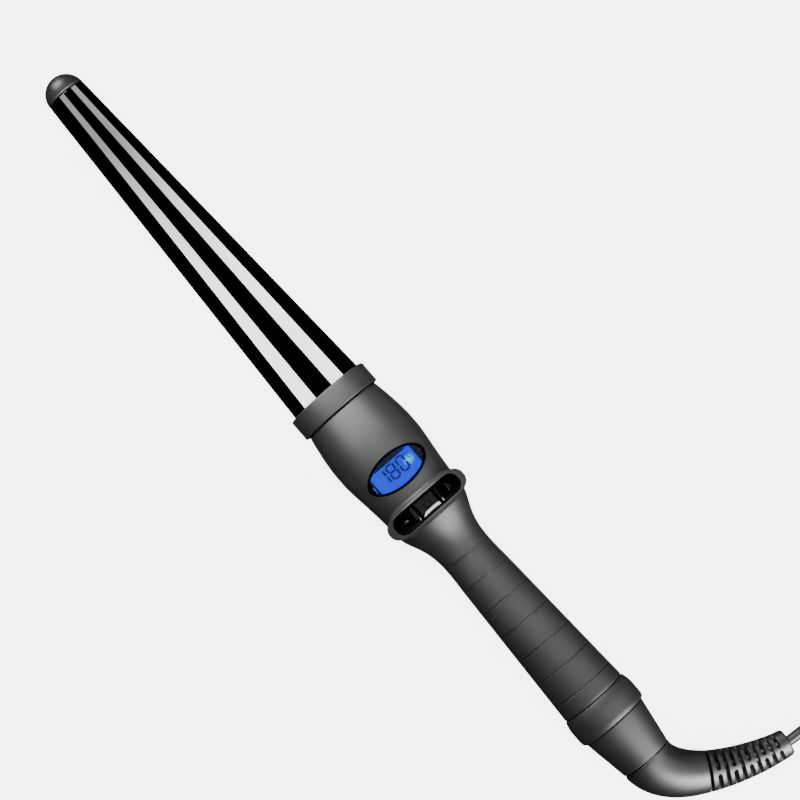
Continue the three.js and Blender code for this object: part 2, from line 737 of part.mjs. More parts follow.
function addShells() {
  addPiece(wand, 'front_shell', frontShell(), SOFT_BLACK, 0.5);
  addPiece(wand, 'back_shell', backShell(), SOFT_BLACK, 0.5);
  const [front, rear] = screwStations();
  addPiece(wand, 'shell_screw_front', shellScrew(front), STEEL, 0.35, 1);
  addPiece(wand, 'shell_screw_rear', shellScrew(rear), STEEL, 0.35, 1);
}

// ---------------------------------------------------------------- display
function displayBezel() {
  const rim = prism(ellipse(DISPLAY_X, DISPLAY_WIDTH, DISPLAY_LENGTH), 3, FAR);
  const hole = prism(
    ellipse(DISPLAY_X, DISPLAY_WIDTH - 2 * BEZEL_WIDTH, DISPLAY_LENGTH - 2 * BEZEL_WIDTH), 2, FAR);
  return rim.subtract(hole).intersect(handleSkin(0, -SHELL_WALL + 0.3));
}

function displayLens() {
  const inset = 2 * (BEZEL_WIDTH + CLEARANCE);
  const oval = prism(ellipse(DISPLAY_X, DISPLAY_WIDTH - inset, DISPLAY_LENGTH - inset), 3, FAR);
  return oval.intersect(handleSkin(-0.15, -0.15 - LENS_THICKNESS));
}

function plate(length, width, z0, z1) {
  return block(
    DISPLAY_X - width / 2, DISPLAY_X + width / 2, -length / 2, length / 2, z0, z1);
}

function addDisplay() {
  const panelTop = room(DISPLAY_X + LCD_WIDTH / 2, LCD_LENGTH / 2) - LCD_MARGIN;
  const panelBase = panelTop - LCD_THICKNESS;
  const backlightTop = panelBase - CLEARANCE;
  addPiece(wand, 'display_bezel', displayBezel(), GLOSS_BLACK, 0.2);
  addPiece(wand, 'display_lens', displayLens(), 0x10202c, 0.05);
  addPiece(wand, 'lcd_panel', plate(LCD_LENGTH, LCD_WIDTH, panelBase, panelTop), 0x1f58e0, 0.3);
  const backlight = plate(
    LCD_LENGTH + 2 * BACKLIGHT_BORDER, LCD_WIDTH + 2 * BACKLIGHT_BORDER,
    backlightTop - BACKLIGHT_THICKNESS, backlightTop);
  addPiece(wand, 'lcd_backlight', backlight, 0xe6e9ee, 0.5);
}

// ---------------------------------------------------------------- buttons and switches
function crownedSpace() {
  const crown = new THREE.CylinderGeometry(PAD_CROWN_RADIUS, PAD_CROWN_RADIUS, PAD_WIDTH, 72);
  crown.rotateZ(Math.PI / 2);
  crown.translate(BUTTON_X, 0, PAD_TOP - PAD_CROWN_RADIUS);
  return toSolid(crown);
}

function buttonCap(side) {
  const inset = 2 * BUTTON_GAP;
  const share = (PILL_LENGTH - inset) / 3;
  const [from, to] = side === 0
    ? [-share / 2 + BUTTON_GAP, share / 2 - BUTTON_GAP]
    : [share / 2 + BUTTON_GAP, FAR];
  const [y0, y1] = side < 0 ? [-to, -from] : [from, to];
  const pill = prism(stadium(BUTTON_X, PILL_WIDTH - inset, PILL_LENGTH - inset), BUTTON_BASE_Z, FAR);
  const cap = pill.intersect(block(BUTTON_X - FAR, BUTTON_X + FAR, y0, y1, 0, FAR));
  const stemFoot = BOARD_TOP + CLEARANCE + SWITCH_HEIGHT + PLUNGER_PROUD + CLEARANCE;
  const y = side * SWITCH_PITCH;
  const half = STEM_WIDTH / 2;
  const stem = block(
    BUTTON_X - half, BUTTON_X + half, y - half, y + half, stemFoot, BUTTON_BASE_Z + 1);
  return cap.intersect(crownedSpace()).add(stem);
}

function tactSwitch(side) {
  const y = side * SWITCH_PITCH;
  const foot = BOARD_TOP + CLEARANCE;
  const body = block(
    BUTTON_X - SWITCH_LENGTH / 2, BUTTON_X + SWITCH_LENGTH / 2,
    y - SWITCH_WIDTH / 2, y + SWITCH_WIDTH / 2,
    foot, foot + SWITCH_HEIGHT);
  return body.subtract(post(BUTTON_X, y, foot + 0.4, FAR, PLUNGER_RADIUS + CLEARANCE, 12));
}

function switchPlunger(side) {
  const top = BOARD_TOP + CLEARANCE + SWITCH_HEIGHT;
  const foot = BOARD_TOP + CLEARANCE + 0.4 + BUTTON_TRAVEL + 0.2;
  return post(BUTTON_X, side * SWITCH_PITCH, foot, top + PLUNGER_PROUD, PLUNGER_RADIUS, 12);
}

function addButtons() {
  for (const { name, side } of BUTTONS) {
    addPiece(wand, `${name}_button`, buttonCap(side), GLOSS_BLACK, 0.15);
    addPiece(wand, `${name}_switch`, tactSwitch(side), 0x8f9296, 0.5);
    addPiece(wand, `${name}_plunger`, switchPlunger(side), 0xd8d6cf, 0.5);
  }
}

// ---------------------------------------------------------------- circuit boards
// A component standing on a board: a box from one corner, its length along X, width and height.
function component(x, y, z, length, width, height) {
  return block(x, x + length, y - width / 2, y + width / 2, z + CLEARANCE, z + CLEARANCE + height);
}

function lyingCylinder(x, y, z, length, radius) {
  return discBetween(x, x + length, radius, SMALL_FACETS).translate([0, y, z + CLEARANCE + radius]);
}

function powerBoardHalf() {
  return room(POWER_BOARD_START, POWER_BOARD_Z) - POWER_BOARD_MARGIN;
}

function addBoards() {
  const controlStart = HEAD_START + CONTROL_BOARD_START;
  const controlEnd = controlStart + CONTROL_BOARD_LENGTH;
  const controlHalf = room(controlEnd, BOARD_TOP) - CONTROL_BOARD_MARGIN;
  const control = block(
    controlStart, controlEnd, -controlHalf, controlHalf, CONTROL_BOARD_Z, BOARD_TOP);
  addPiece(wand, 'control_board', control, BOARD_GREEN, 0.6);
  const chip = component(DISPLAY_X - 3.5, 0, BOARD_TOP, 7, 7, 1.2);
  addPiece(wand, 'controller_chip', chip, 0x151517, 0.5);

  const start = POWER_BOARD_START;
  const half = powerBoardHalf();
  const top = POWER_BOARD_Z + BOARD_THICKNESS;
  const canRadius = half - BOARD_FUSE_RADIUS - BOARD_PART_GAP - 0.5;
  const fuseY = BOARD_FUSE_RADIUS + 0.8 - half;
  const rear = start + REAR_PARTS_AT;
  const power = block(start, start + POWER_BOARD_LENGTH, -half, half, POWER_BOARD_Z, top);
  const boardFuse = lyingCylinder(rear, fuseY, top, REAR_PARTS_LENGTH, BOARD_FUSE_RADIUS);
  const can = lyingCylinder(rear, half - 0.6 - canRadius, top, REAR_PARTS_LENGTH, canRadius);
  const triac = component(start + TRIAC_AT, half - 3.3, top, 3.6, 4.6, 4);
  const capacitor = component(start + MAINS_CAPACITOR_AT, 0, top, 8, 5, 4.6);
  addPiece(wand, 'power_board', power, BOARD_GREEN, 0.6);
  addPiece(wand, 'triac', triac, 0x1a1a1c, 0.5);
  addPiece(wand, 'mains_capacitor', capacitor, 0xc8a12e, 0.5);
  addPiece(wand, 'board_fuse', boardFuse, 0xd9dde0, 0.15);
  addPiece(wand, 'smoothing_capacitor', can, 0x23345e, 0.4);
}

// Three wires run from the barrel through the mount. The two heater leads pass under the control
// board and beside the front screw to the power board; the sensor lead ends on the control board.
function addWires() {
  const onBoard = powerBoardHalf() - LEAD_RADIUS;
  const overBoard = POWER_BOARD_Z + BOARD_THICKNESS + CLEARANCE + LEAD_RADIUS;
  const underBoard = CONTROL_BOARD_Z - 3.6;
  const besideScrew = BOSS_RADIUS + 0.4 + LEAD_RADIUS + 0.5;
  const mountFront = BARREL_END - MOUNT_REACH;
  const bySide = (side, from) => wire([
    [from, side * LEAD_ASIDE, 0],
    [mountFront, side * LEAD_ASIDE, -0.6],
    [HEAD_START, side * LEAD_ASIDE, -1.6],
    [HEAD_START + MOUNT_TAIL, side * LEAD_ASIDE, underBoard],
    [BUTTON_X - 4, side * (LEAD_ASIDE + 0.6), underBoard],
    [HEAD_START + FRONT_SCREW_AT, side * besideScrew, -1],
    [POWER_BOARD_START - 1.5, side * (onBoard - 0.3), overBoard],
    [POWER_BOARD_START + 4, side * (onBoard - 0.5), overBoard],
  ], LEAD_RADIUS, LEAD_RADIUS, 18);
  addPiece(wand, 'heater_lead_live',
    bySide(1, HEATER_START + HEATER_LENGTH + CLEARANCE), 0xa82a22, 0.6);
  addPiece(wand, 'heater_lead_neutral',
    bySide(-1, FUSE_START + FUSE_LENGTH + CLEARANCE), 0x222224, 0.6);
  const sensorEnd = BOARD_TOP + CLEARANCE + SENSOR_LEAD_RADIUS;
  addPiece(wand, 'sensor_lead', wire([
    [THERMISTOR_X + THERMISTOR_RADIUS + CLEARANCE, 0, thermistorHeight()],
    [mountFront - 1.4, 0, MOUNT_BORE - 1.4],
    [HEAD_START, 0, MOUNT_BORE - 2.2],
    [HEAD_START + CONTROL_BOARD_START, 0, sensorEnd + 0.3],
    [HEAD_START + CONTROL_BOARD_START + 4, 0, sensorEnd],
  ], SENSOR_LEAD_RADIUS, SENSOR_LEAD_RADIUS, 16), 0xd8d8d2, 0.6);
}

// ---------------------------------------------------------------- tail
function tailRing() {
  const bore = SHELL_SPIGOT_RADIUS + CLEARANCE;
  return turned([
    [TAIL_RING_START, bore],
    [TAIL_RING_START, TAIL_RING_FRONT_RADIUS - 0.3],
    [TAIL_RING_START + 0.5, TAIL_RING_FRONT_RADIUS],
    [TAIL_RING_START + TAIL_RING_LENGTH * 0.4, TAIL_RING_RADIUS],
    [TAIL_RING_START + TAIL_RING_LENGTH * 0.75, TAIL_RING_RADIUS],
    [TAIL_RING_END - 0.4, TAIL_RING_RADIUS - 0.2],
    [TAIL_RING_END, TAIL_RING_RADIUS - 0.7],
    [TAIL_RING_END, bore],
  ]);
}

function tailCone() {
  const innerRadius = SWIVEL_FLANGE_RADIUS + 0.8;
  const wallStart = TAIL_CONE_END - TAIL_CONE_WALL;
  const hole = SWIVEL_NECK_RADIUS + CLEARANCE;
  const edge = 1.4;
  return turned([
    [TAIL_CONE_START - TAIL_CONE_SPIGOT, innerRadius],
    [TAIL_CONE_START - TAIL_CONE_SPIGOT, SHELL_SPIGOT_RADIUS],
    [TAIL_CONE_START, SHELL_SPIGOT_RADIUS],
    [TAIL_CONE_START, TAIL_CONE_RADIUS],
    [TAIL_CONE_END - 4, TAIL_CONE_END_RADIUS + 1.1],
    [TAIL_CONE_END - edge, TAIL_CONE_END_RADIUS + 0.5],
    [TAIL_CONE_END - 0.4, TAIL_CONE_END_RADIUS],
    [TAIL_CONE_END, TAIL_CONE_END_RADIUS - 0.6],
    [TAIL_CONE_END, hole],
    [wallStart, hole],
    [wallStart, innerRadius],
  ]);
}

function swivelNeck() {
  const end = ELBOW_START + SWIVEL_NECK_TUCK;
  return turned([
    [FLANGE_START, SWIVEL_NECK_BORE],
    [FLANGE_START, SWIVEL_FLANGE_RADIUS],
    [FLANGE_END, SWIVEL_FLANGE_RADIUS],
    [FLANGE_END, SWIVEL_NECK_RADIUS],
    [end, SWIVEL_NECK_RADIUS],
    [end, SWIVEL_NECK_BORE],
  ], MIDDLE_FACETS);
}

// The hub that turns with the lead: it plugs into the neck and carries the two contacts.
function swivelHub() {
  return turned([
    [HUB_START, 0],
    [HUB_START, HUB_RADIUS],
    [HUB_END, HUB_RADIUS],
    [HUB_END, SWIVEL_NECK_BORE - CLEARANCE],
    [HUB_END + 5, SWIVEL_NECK_BORE - CLEARANCE],
    [HUB_END + 5, 0],
  ], MIDDLE_FACETS);
}

function contactCarrier() {
  const radius = SHELL_SPIGOT_RADIUS - SHELL_SPIGOT_WALL - CLEARANCE;
  const disc = discBetween(CARRIER_END - CARRIER_THICKNESS, CARRIER_END, radius, MIDDLE_FACETS);
  return disc.subtract(block(0, FAR * 5, -1.6, 1.6, radius - 1.8, FAR));
}

// A leaf that runs over the hub and ends above the contact ring.
function ringBrush() {
  const thickness = 0.4;
  const low = CONTACT_RING_RADIUS + CLEARANCE;
  return block(
    CARRIER_END - CARRIER_THICKNESS - 1, CONTACT_RING_END, -1.1, 1.1, low, low + thickness);
}

function centreBrush() {
  const end = CENTRE_BRUSH_START + CENTRE_BRUSH_THICKNESS;
  return block(CENTRE_BRUSH_START, end, -1.2, 1.2, -5, 3);
}

function addTail() {
  const carrierBore = RETAINER_END - RETAINER_THICKNESS;
  addPiece(wand, 'tail_ring', tailRing(), SOFT_BLACK, 0.5);
  addPiece(wand, 'tail_cone', tailCone(), SOFT_BLACK, 0.5);
  addPiece(wand, 'contact_carrier', contactCarrier(), 0x2c2a26, 0.6);
  addPiece(wand, 'ring_brush', ringBrush(), BRASS, 0.3, 1);
  addPiece(wand, 'centre_brush', centreBrush(), BRASS, 0.3, 1);
  addPiece(wand, 'swivel_retainer',
    tubeBetween(carrierBore, RETAINER_END, HUB_RADIUS + CLEARANCE, SWIVEL_FLANGE_RADIUS, MIDDLE_FACETS),
    STEEL, 0.4, 1);
}

// ---------------------------------------------------------------- swivel and strain relief
function reliefCurve() {
  const stage = (place, reach) => {
    const heading = THREE.MathUtils.degToRad(place.heading);
    return new THREE.Vector3(
      ELBOW_START + place.along + reach * Math.cos(heading),
      place.aside + reach * Math.sin(heading),
      0,
    );
  };
  const curve = new THREE.CurvePath();
  curve.add(new THREE.CubicBezierCurve3(
    new THREE.Vector3(ELBOW_START, 0, 0),
    new THREE.Vector3(ELBOW_START + BOOT_START.along * 0.4, 0, 0),
    stage(BOOT_START, -7.4),
    stage(BOOT_START, 0),
  ));
  curve.add(new THREE.CubicBezierCurve3(
    stage(BOOT_START, 0),
    stage(BOOT_START, 8),
    stage(BOOT_END, -8),
    stage(BOOT_END, 0),
  ));
  return curve;
}

function strainRelief() {
  const curve = reliefCurve();
  const [elbowLength, fullLength] = curve.getCurveLengths();
  const radiusAt = (share) => {
    const along = share * fullLength;
    if (along < elbowLength) {
      const part = along / elbowLength;
      return ELBOW_RADIUS + (BOOT_START_RADIUS - ELBOW_RADIUS) * part ** 1.3;
    }
    const part = (along - elbowLength) / (fullLength - elbowLength);
    return BOOT_START_RADIUS + (BOOT_END_RADIUS - BOOT_START_RADIUS) * part;
  };
  const sectionAt = (share) => [radiusAt(share), radiusAt(share)];
  let relief = loft(curve, sectionAt, 12, 16);
  relief = relief.subtract(discBetween(
    ELBOW_START - 1, ELBOW_START + SWIVEL_NECK_TUCK + CLEARANCE,
    SWIVEL_NECK_RADIUS + CLEARANCE, MIDDLE_FACETS));
  for (let i = 0; i < SLOT_COUNT; i += 1) {
    const share = (elbowLength + i * SLOT_PITCH) / fullLength;
    const centre = curve.getPointAt(share);
    const heading = curve.getTangentAt(share);
    const turn = THREE.MathUtils.radToDeg(Math.atan2(heading.y, heading.x));
    for (const side of [-1, 1]) {
      const [near, far] = side > 0 ? [SLOT_WEB, ELBOW_RADIUS] : [-ELBOW_RADIUS, -SLOT_WEB];
      const half = SLOT_WIDTH / 2;
      const cut = i % 2 === 0
        ? block(-half, half, -ELBOW_RADIUS, ELBOW_RADIUS, near, far)
        : block(-half, half, near, far, -ELBOW_RADIUS, ELBOW_RADIUS);
      relief = relief.subtract(cut.rotate([0, 0, turn]).translate([centre.x, centre.y, 0]));
    }
  }
  return relief;
}

function addSwivel() {
  addPiece(wand, 'swivel_neck', swivelNeck(), 0x1c1c1e, 0.6);
  addPiece(wand, 'swivel_hub', swivelHub(), 0x3a352e, 0.6);
  addPiece(wand, 'contact_ring', tubeBetween(
    CONTACT_RING_START, CONTACT_RING_END, HUB_RADIUS + CLEARANCE, CONTACT_RING_RADIUS, MIDDLE_FACETS),
  BRASS, 0.3, 1);
  addPiece(wand, 'centre_contact', discBetween(
    CENTRE_CONTACT_START, CENTRE_CONTACT_START + CENTRE_CONTACT_LENGTH, CENTRE_CONTACT_RADIUS, SMALL_FACETS),
  BRASS, 0.3, 1);
  addPiece(wand, 'strain_relief', strainRelief(), 0x242426, 0.6);
}

// ---------------------------------------------------------------- mains lead and plug
function coilSize() {
  return {
    inner: COIL_MEAN_RADIUS - COIL_WIDTH / 2,
    outer: COIL_MEAN_RADIUS + COIL_WIDTH / 2,
    height: COIL_LAYERS * (CORD_WIDTH + COIL_LAYER_GAP),
  };
}

function cordCoil(x, y) {
  const { inner, outer, height } = coilSize();
  const low = COIL_OFF_TABLE;
  const high = COIL_OFF_TABLE + height;
  const outline = [[inner, low], [outer, low], [outer, high], [inner, high], [inner, low]];
  const ring = new THREE.LatheGeometry(outline.map((corner) => new THREE.Vector2(...corner)), 36);
  ring.rotateX(Math.PI / 2);
  return toSolid(ring).translate([x, y, 0]);
}

// A band around the coil's turns.
function cordTie(x, y) {
  const { inner, outer, height } = coilSize();
  const bow = outer - Math.sqrt(outer ** 2 - (TIE_WIDTH / 2) ** 2);
  const hole = [-outer - CLEARANCE, -inner + bow + CLEARANCE,
    COIL_OFF_TABLE - CLEARANCE, COIL_OFF_TABLE + height + CLEARANCE];
  const [y0, y1, z0, z1] = hole;
  const band = block(-TIE_WIDTH / 2, TIE_WIDTH / 2,
    y0 - TIE_THICKNESS, y1 + TIE_THICKNESS, z0 - TIE_THICKNESS, z1 + TIE_THICKNESS);
  return band
    .subtract(block(-TIE_WIDTH, TIE_WIDTH, y0, y1, z0, z1))
    .rotate([0, 0, TIE_ANGLE])
    .translate([x, y, 0]);
}

function plugBody() {
  const outline = new THREE.Shape();
  const half = PLUG_WIDTH / 2;
  const tail = CORD_THICKNESS;
  outline.moveTo(0, -tail);
  outline.lineTo(PLUG_NOSE, -tail - 1);
  outline.quadraticCurveTo(PLUG_NOSE + 6, -half, PLUG_NOSE + 12, -half);
  outline.lineTo(PLUG_NOSE + PLUG_LENGTH, -half + 1);
  outline.lineTo(PLUG_NOSE + PLUG_LENGTH, half - 1);
  outline.lineTo(PLUG_NOSE + 12, half);
  outline.quadraticCurveTo(PLUG_NOSE + 6, half, PLUG_NOSE, tail + 1);
  outline.lineTo(0, tail);
  return prism(outline, 0, PLUG_HEIGHT, 5);
}

function plugPin(side) {
  const start = PLUG_NOSE + PLUG_LENGTH + CLEARANCE;
  return discBetween(start, start + PIN_LENGTH, PIN_RADIUS, SMALL_FACETS)
    .translate([0, (side * PIN_SPACING) / 2, PLUG_HEIGHT / 2]);
}

function addLead(exit) {
  const { outer, height } = coilSize();
  const [runX, runY] = CORD_ROUTE.at(-1);
  const reach = outer + CORD_THICKNESS / 2 + COIL_GAP;
  const x = exit.x + runX + COIL_AHEAD;
  const y = exit.y + runY - Math.sqrt(reach ** 2 - COIL_AHEAD ** 2);
  const top = COIL_OFF_TABLE + height;
  const halfWidth = CORD_WIDTH / 2;
  const halfThickness = CORD_THICKNESS / 2;
  const route = CORD_ROUTE.map(([dx, dy, z]) => [exit.x + dx, exit.y + dy, z]);
  const start = [exit.x, exit.y, exit.z];
  const end = CORD_END_ROUTE.map(([dx, dy, gap]) => [x + dx, y + dy, top + halfWidth + gap]);
  const color = 0x1d1d1f;
  addPiece(lead, 'power_cord', wire([start, ...route], halfWidth, halfThickness, 16), color, 0.6);
  addPiece(lead, 'cord_coil', cordCoil(x, y), color, 0.6);
  addPiece(lead, 'cord_tie', cordTie(x, y), 0x111112, 0.7);
  addPiece(lead, 'cord_end', wire(end, halfWidth, halfThickness, 12), color, 0.6);

  const plug = new THREE.Group();
  plug.position.set(x + PLUG_FROM_COIL[0], y + PLUG_FROM_COIL[1], top + CLEARANCE);
  plug.rotation.z = THREE.MathUtils.degToRad(PLUG_HEADING);
  lead.add(plug);
  addPiece(plug, 'plug_body', plugBody(), 0x1a1a1b, 0.5);
  addPiece(plug, 'plug_pin_left', plugPin(1), STEEL, 0.25, 1);
  addPiece(plug, 'plug_pin_right', plugPin(-1), STEEL, 0.25, 1);
}

// ---------------------------------------------------------------- build and lay on the table
addBarrel();
addCollar();
addShells();
addDisplay();
addButtons();
addBoards();
addWires();
addTail();
addSwivel();

wand.rotation.y = REST_TILT;
wand.updateMatrixWorld(true);
const bounds = new THREE.Box3().setFromObject(wand, true);
const middle = bounds.getCenter(new THREE.Vector3());
wand.position.set(-middle.x, -middle.y, -bounds.min.z);
wand.updateMatrixWorld(true);

const reliefEnd = reliefCurve();
const exitLocal = reliefEnd.getPointAt(1).addScaledVector(reliefEnd.getTangentAt(1), CLEARANCE);
addLead(wand.localToWorld(exitLocal));

export default assembly;
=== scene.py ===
import json
import math

import bmesh
import bpy
from mathutils import Matrix, Vector


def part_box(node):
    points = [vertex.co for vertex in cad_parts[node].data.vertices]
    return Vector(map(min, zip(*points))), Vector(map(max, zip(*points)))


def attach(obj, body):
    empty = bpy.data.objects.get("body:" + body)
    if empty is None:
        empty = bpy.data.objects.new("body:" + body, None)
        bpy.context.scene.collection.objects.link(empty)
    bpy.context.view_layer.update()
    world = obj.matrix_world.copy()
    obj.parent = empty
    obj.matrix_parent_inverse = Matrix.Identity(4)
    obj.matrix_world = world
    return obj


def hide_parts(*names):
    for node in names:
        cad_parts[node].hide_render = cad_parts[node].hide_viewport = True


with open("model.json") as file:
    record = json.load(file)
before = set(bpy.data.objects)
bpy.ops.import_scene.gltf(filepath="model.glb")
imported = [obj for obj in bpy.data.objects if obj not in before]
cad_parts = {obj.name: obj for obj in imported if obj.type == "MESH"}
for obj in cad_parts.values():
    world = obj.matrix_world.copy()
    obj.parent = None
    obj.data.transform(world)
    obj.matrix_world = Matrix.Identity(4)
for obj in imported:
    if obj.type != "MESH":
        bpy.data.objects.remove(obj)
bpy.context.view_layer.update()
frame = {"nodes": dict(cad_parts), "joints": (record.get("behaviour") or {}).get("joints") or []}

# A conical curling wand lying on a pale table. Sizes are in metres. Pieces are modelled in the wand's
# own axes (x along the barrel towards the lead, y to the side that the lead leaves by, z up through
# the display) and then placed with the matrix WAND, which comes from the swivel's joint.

MM = 0.001

# ---------------------------------------------------------------- the wand's own axes
swivel = next(joint for joint in frame["joints"] if joint["name"] == "cord_swivel")
AXIS = Vector(swivel["axis"]).normalized()
PIVOT = Vector(swivel["pos_m"])
TILT = Matrix.Rotation(math.atan2(-AXIS.z, AXIS.x), 4, "Y")


def span(node, matrix):
    """Lowest and highest corner of a CAD node in the axes of a matrix."""
    back = matrix.inverted()
    points = [back @ vertex.co for vertex in frame["nodes"][node].data.vertices]
    low = Vector([min(point[i] for point in points) for i in range(3)])
    high = Vector([max(point[i] for point in points) for i in range(3)])
    return low, high


BARREL_FRONT = span("barrel_tube", Matrix.Translation(PIVOT) @ TILT)[0].x
WAND = Matrix.Translation(PIVOT + AXIS * BARREL_FRONT) @ TILT


def local(node):
    return span(node, WAND)


def ends(node):
    """Where a CAD node starts and ends along the wand."""
    low, high = local(node)
    return low.x, high.x


GAP = 0.3 * MM                # between two pieces
TIP_R = (local("tip_cap")[1].z - local("tip_cap")[0].z) / 2
COLLAR_START, COLLAR_END = ends("collar_ring")
COLLAR_R = 14.25 * MM
BARREL_END = ends("barrel_tube")[1]
BARREL_R = 12.5 * MM          # at the collar's front
BARREL_WALL = 1.2 * MM
HEAD_START = COLLAR_END + GAP
RING_START, RING_END = ends("tail_ring")
RING_START_R = 11.4 * MM
RING_R = 12.1 * MM
GRIP_END = RING_START - GAP
SPIGOT_END = ends("front_shell")[1]
CONE_START = RING_END + GAP
CONE_END = ends("tail_cone")[1]
CONE_START_R = 11 * MM
CONE_END_R = 8.7 * MM
CONE_WALL = 3 * MM
ELBOW_START = CONE_END + GAP
DISPLAY_X = sum(ends("display_bezel")) / 2
BUTTON_X = sum(ends("power_button")) / 2

# the handle's outline, measured from the head's start
SHOULDER_R = 13.1 * MM
BELLY_AT = 16 * MM
BELLY_R = 14.9 * MM
BELLY_FLAT = 3 * MM
LIP_AT = 41 * MM
LIP_R = 12.8 * MM
NECK = HEAD_START + 58.2 * MM
NECK_R = 8.4 * MM
GRIP_END_R = 11.15 * MM
SPIGOT_R = 9.6 * MM
SPIGOT_WALL = 1.6 * MM
WALL = 2 * MM
SHELL_EDGE = 0.35 * MM        # how much a shell's ends are rounded
SCREWS = [HEAD_START + 51.7 * MM, HEAD_START + 106.8 * MM]

# pad, pill opening and window
PAD_LENGTH = 29.6 * MM
PAD_WIDTH = 9.2 * MM
PAD_TOP = LIP_R + 1.85 * MM
PAD_CROWN = 22 * MM
PAD_SLOPE = 1.6 * MM          # width of the pad's rounded border
PILL_LENGTH = 25.2 * MM
PILL_WIDTH = 6.7 * MM
DISPLAY_LENGTH = 20.9 * MM
DISPLAY_WIDTH = 10.8 * MM
BEZEL_WIDTH = 0.7 * MM
LENS_EDGE = 0.8 * BEZEL_WIDTH + 0.1 * MM

# display behind the window: y runs across the wand, from the digit 1 to the letter C
LCD_TOP = 8.2 * MM
LCD_HALF_LENGTH = 7.8 * MM
LCD_HALF_WIDTH = 4.9 * MM
LIT_LOW, LIT_HIGH = -7.6 * MM, 7.0 * MM
LAMP = (-0.2 * MM, 4.5 * MM)
FRAME_HALF_LENGTH = 9.1 * MM
FRAME_HALF_WIDTH = 5.2 * MM
FRAME_EDGE = 3.5 * MM         # where the frame's strip on the tip side ends
FILM = 0.1 * MM               # thickness of the digits' bars
DIGITS_X = DISPLAY_X - 0.5 * MM

# buttons
KEY_GAP = 0.25 * MM
KEY_UNDERSIDE = 9 * MM
KEY_SWELL = 0.1 * MM
KEY_FALL_FROM = 1.5 * MM      # from here towards the tail the top falls away
STEM_HALF = 1.2 * MM
STEM_AT = 7.4 * MM
STEM_TOP = 9.6 * MM
SIGN_AT = 7.9 * MM
SIGN_HEIGHT = 0.22 * MM

GROOVES = 7
GROOVE_AT = 57.9 * MM
GROOVE_PITCH = 8.86 * MM
GROOVE_DEPTH = 0.4 * MM
GROOVE_REACH = 0.6 * MM       # nothing is cut further than this from a groove's middle

# strain relief, from where it leaves the tail cone
ELBOW_R = 8.7 * MM
BOOT_START = (15.2 * MM, 11.6 * MM, 58.5)
BOOT_START_R = 6.4 * MM
BOOT_END = (24.6 * MM, 35.9 * MM, 79.7)
BOOT_END_R = 4.2 * MM
RELIEF_BORE = 4.9 * MM
SLOTS = 10
SLOT_PITCH = 2.48 * MM
SLOT_DEPTH = 3.6 * MM
SLOT_CORE_R = 1.8 * MM        # no slot goes deeper than this radius

# flat lead
CORD_WIDTH = 5.2 * MM
CORD_THICKNESS = 3.2 * MM
CORD_STEP = 2.5 * MM          # between two rings of its mesh

# plug, and the tie around the coil
PLUG_FROM_COIL = (7.6 * MM, 9.6 * MM)
CORD_INTO_PLUG = (7.9 * MM, 7.6 * MM)
PLUG_HEADING = -81
PLUG_NOSE = 10 * MM
PLUG_LENGTH = 30 * MM
PLUG_WIDTH = 34 * MM
PLUG_HEIGHT = 13.6 * MM
PIN_R = 2 * MM
PIN_LENGTH = 19 * MM
PIN_FROM_MIDDLE = 9.3 * MM
TIE_WIDTH = 8 * MM
TIE_THICKNESS = 0.8 * MM
TIE_CORNER = 1.3 * MM
TIE_ANGLE = 115
COIL_BAND = 17.4 * MM         # width of the coil's ring of turns


# ---------------------------------------------------------------- small mesh tools
def bezier(p0, p1, p2, p3, steps):
    """Points along a cubic curve, without its first one."""
    points = []
    for i in range(1, steps + 1):
        t = i / steps
        s = 1 - t
        weights = (s ** 3, 3 * s * s * t, 3 * s * t * t, t ** 3)
        points.append(tuple(
            sum(w * p[k] for w, p in zip(weights, (p0, p1, p2, p3))) for k in range(len(p0))))
    return points


def rounded(points, radii, steps=5):
    """An open outline whose inner corners are rounded, each by its own radius."""
    out = [points[0]]
    for before, corner, after, radius in zip(points, points[1:], points[2:], radii):
        b, c, a = Vector(before), Vector(corner), Vector(after)
        reach = min(radius, (b - c).length * 0.49, (a - c).length * 0.49)
        start = c + (b - c).normalized() * reach
        end = c + (a - c).normalized() * reach
        for i in range(steps + 1):
            t = i / steps
            point = start * (1 - t) ** 2 + c * 2 * t * (1 - t) + end * t * t
            out.append(tuple(point))
    out.append(points[-1])
    return out


def mesh_object(name, vertices, faces, sharp=35):
    mesh = bpy.data.meshes.new(name)
    mesh.from_pydata([tuple(v) for v in vertices], [], faces)
    bm = bmesh.new()
    bm.from_mesh(mesh)
    bmesh.ops.remove_doubles(bm, verts=bm.verts, dist=2e-6)
    bmesh.ops.dissolve_degenerate(bm, edges=bm.edges, dist=1e-7)
    bmesh.ops.recalc_face_normals(bm, faces=bm.faces)
    bm.to_mesh(mesh)
    bm.free()
    smooth(mesh, sharp)
    return new_piece(name, mesh)


def strips(rows, count, closed=False, round_=True):
    """Faces between rows of count points: closed joins the last row to the first, and round_ the
    last point of each row to its first."""
    faces = []
    for i in range(rows if closed else rows - 1):
        n = (i + 1) % rows
        for j in range(count if round_ else count - 1):
            k = (j + 1) % count
            faces.append((i * count + j, n * count + j, n * count + k, i * count + k))
    return faces


def end_caps(rows, count):
    return [tuple(range(count))[::-1], tuple((rows - 1) * count + j for j in range(count))]


def lathe(name, outline, segments=160):
    """A closed solid turned about the wand's axis from (station, radius) points."""
    vertices = []
    closed = outline[0][1] > 1e-6 or outline[-1][1] > 1e-6
    for x, r in outline:
        for j in range(segments):
            angle = 2 * math.pi * j / segments
            vertices.append((x, r * math.sin(angle), r * math.cos(angle)))
    return mesh_object(name, vertices, strips(len(outline), segments, closed))


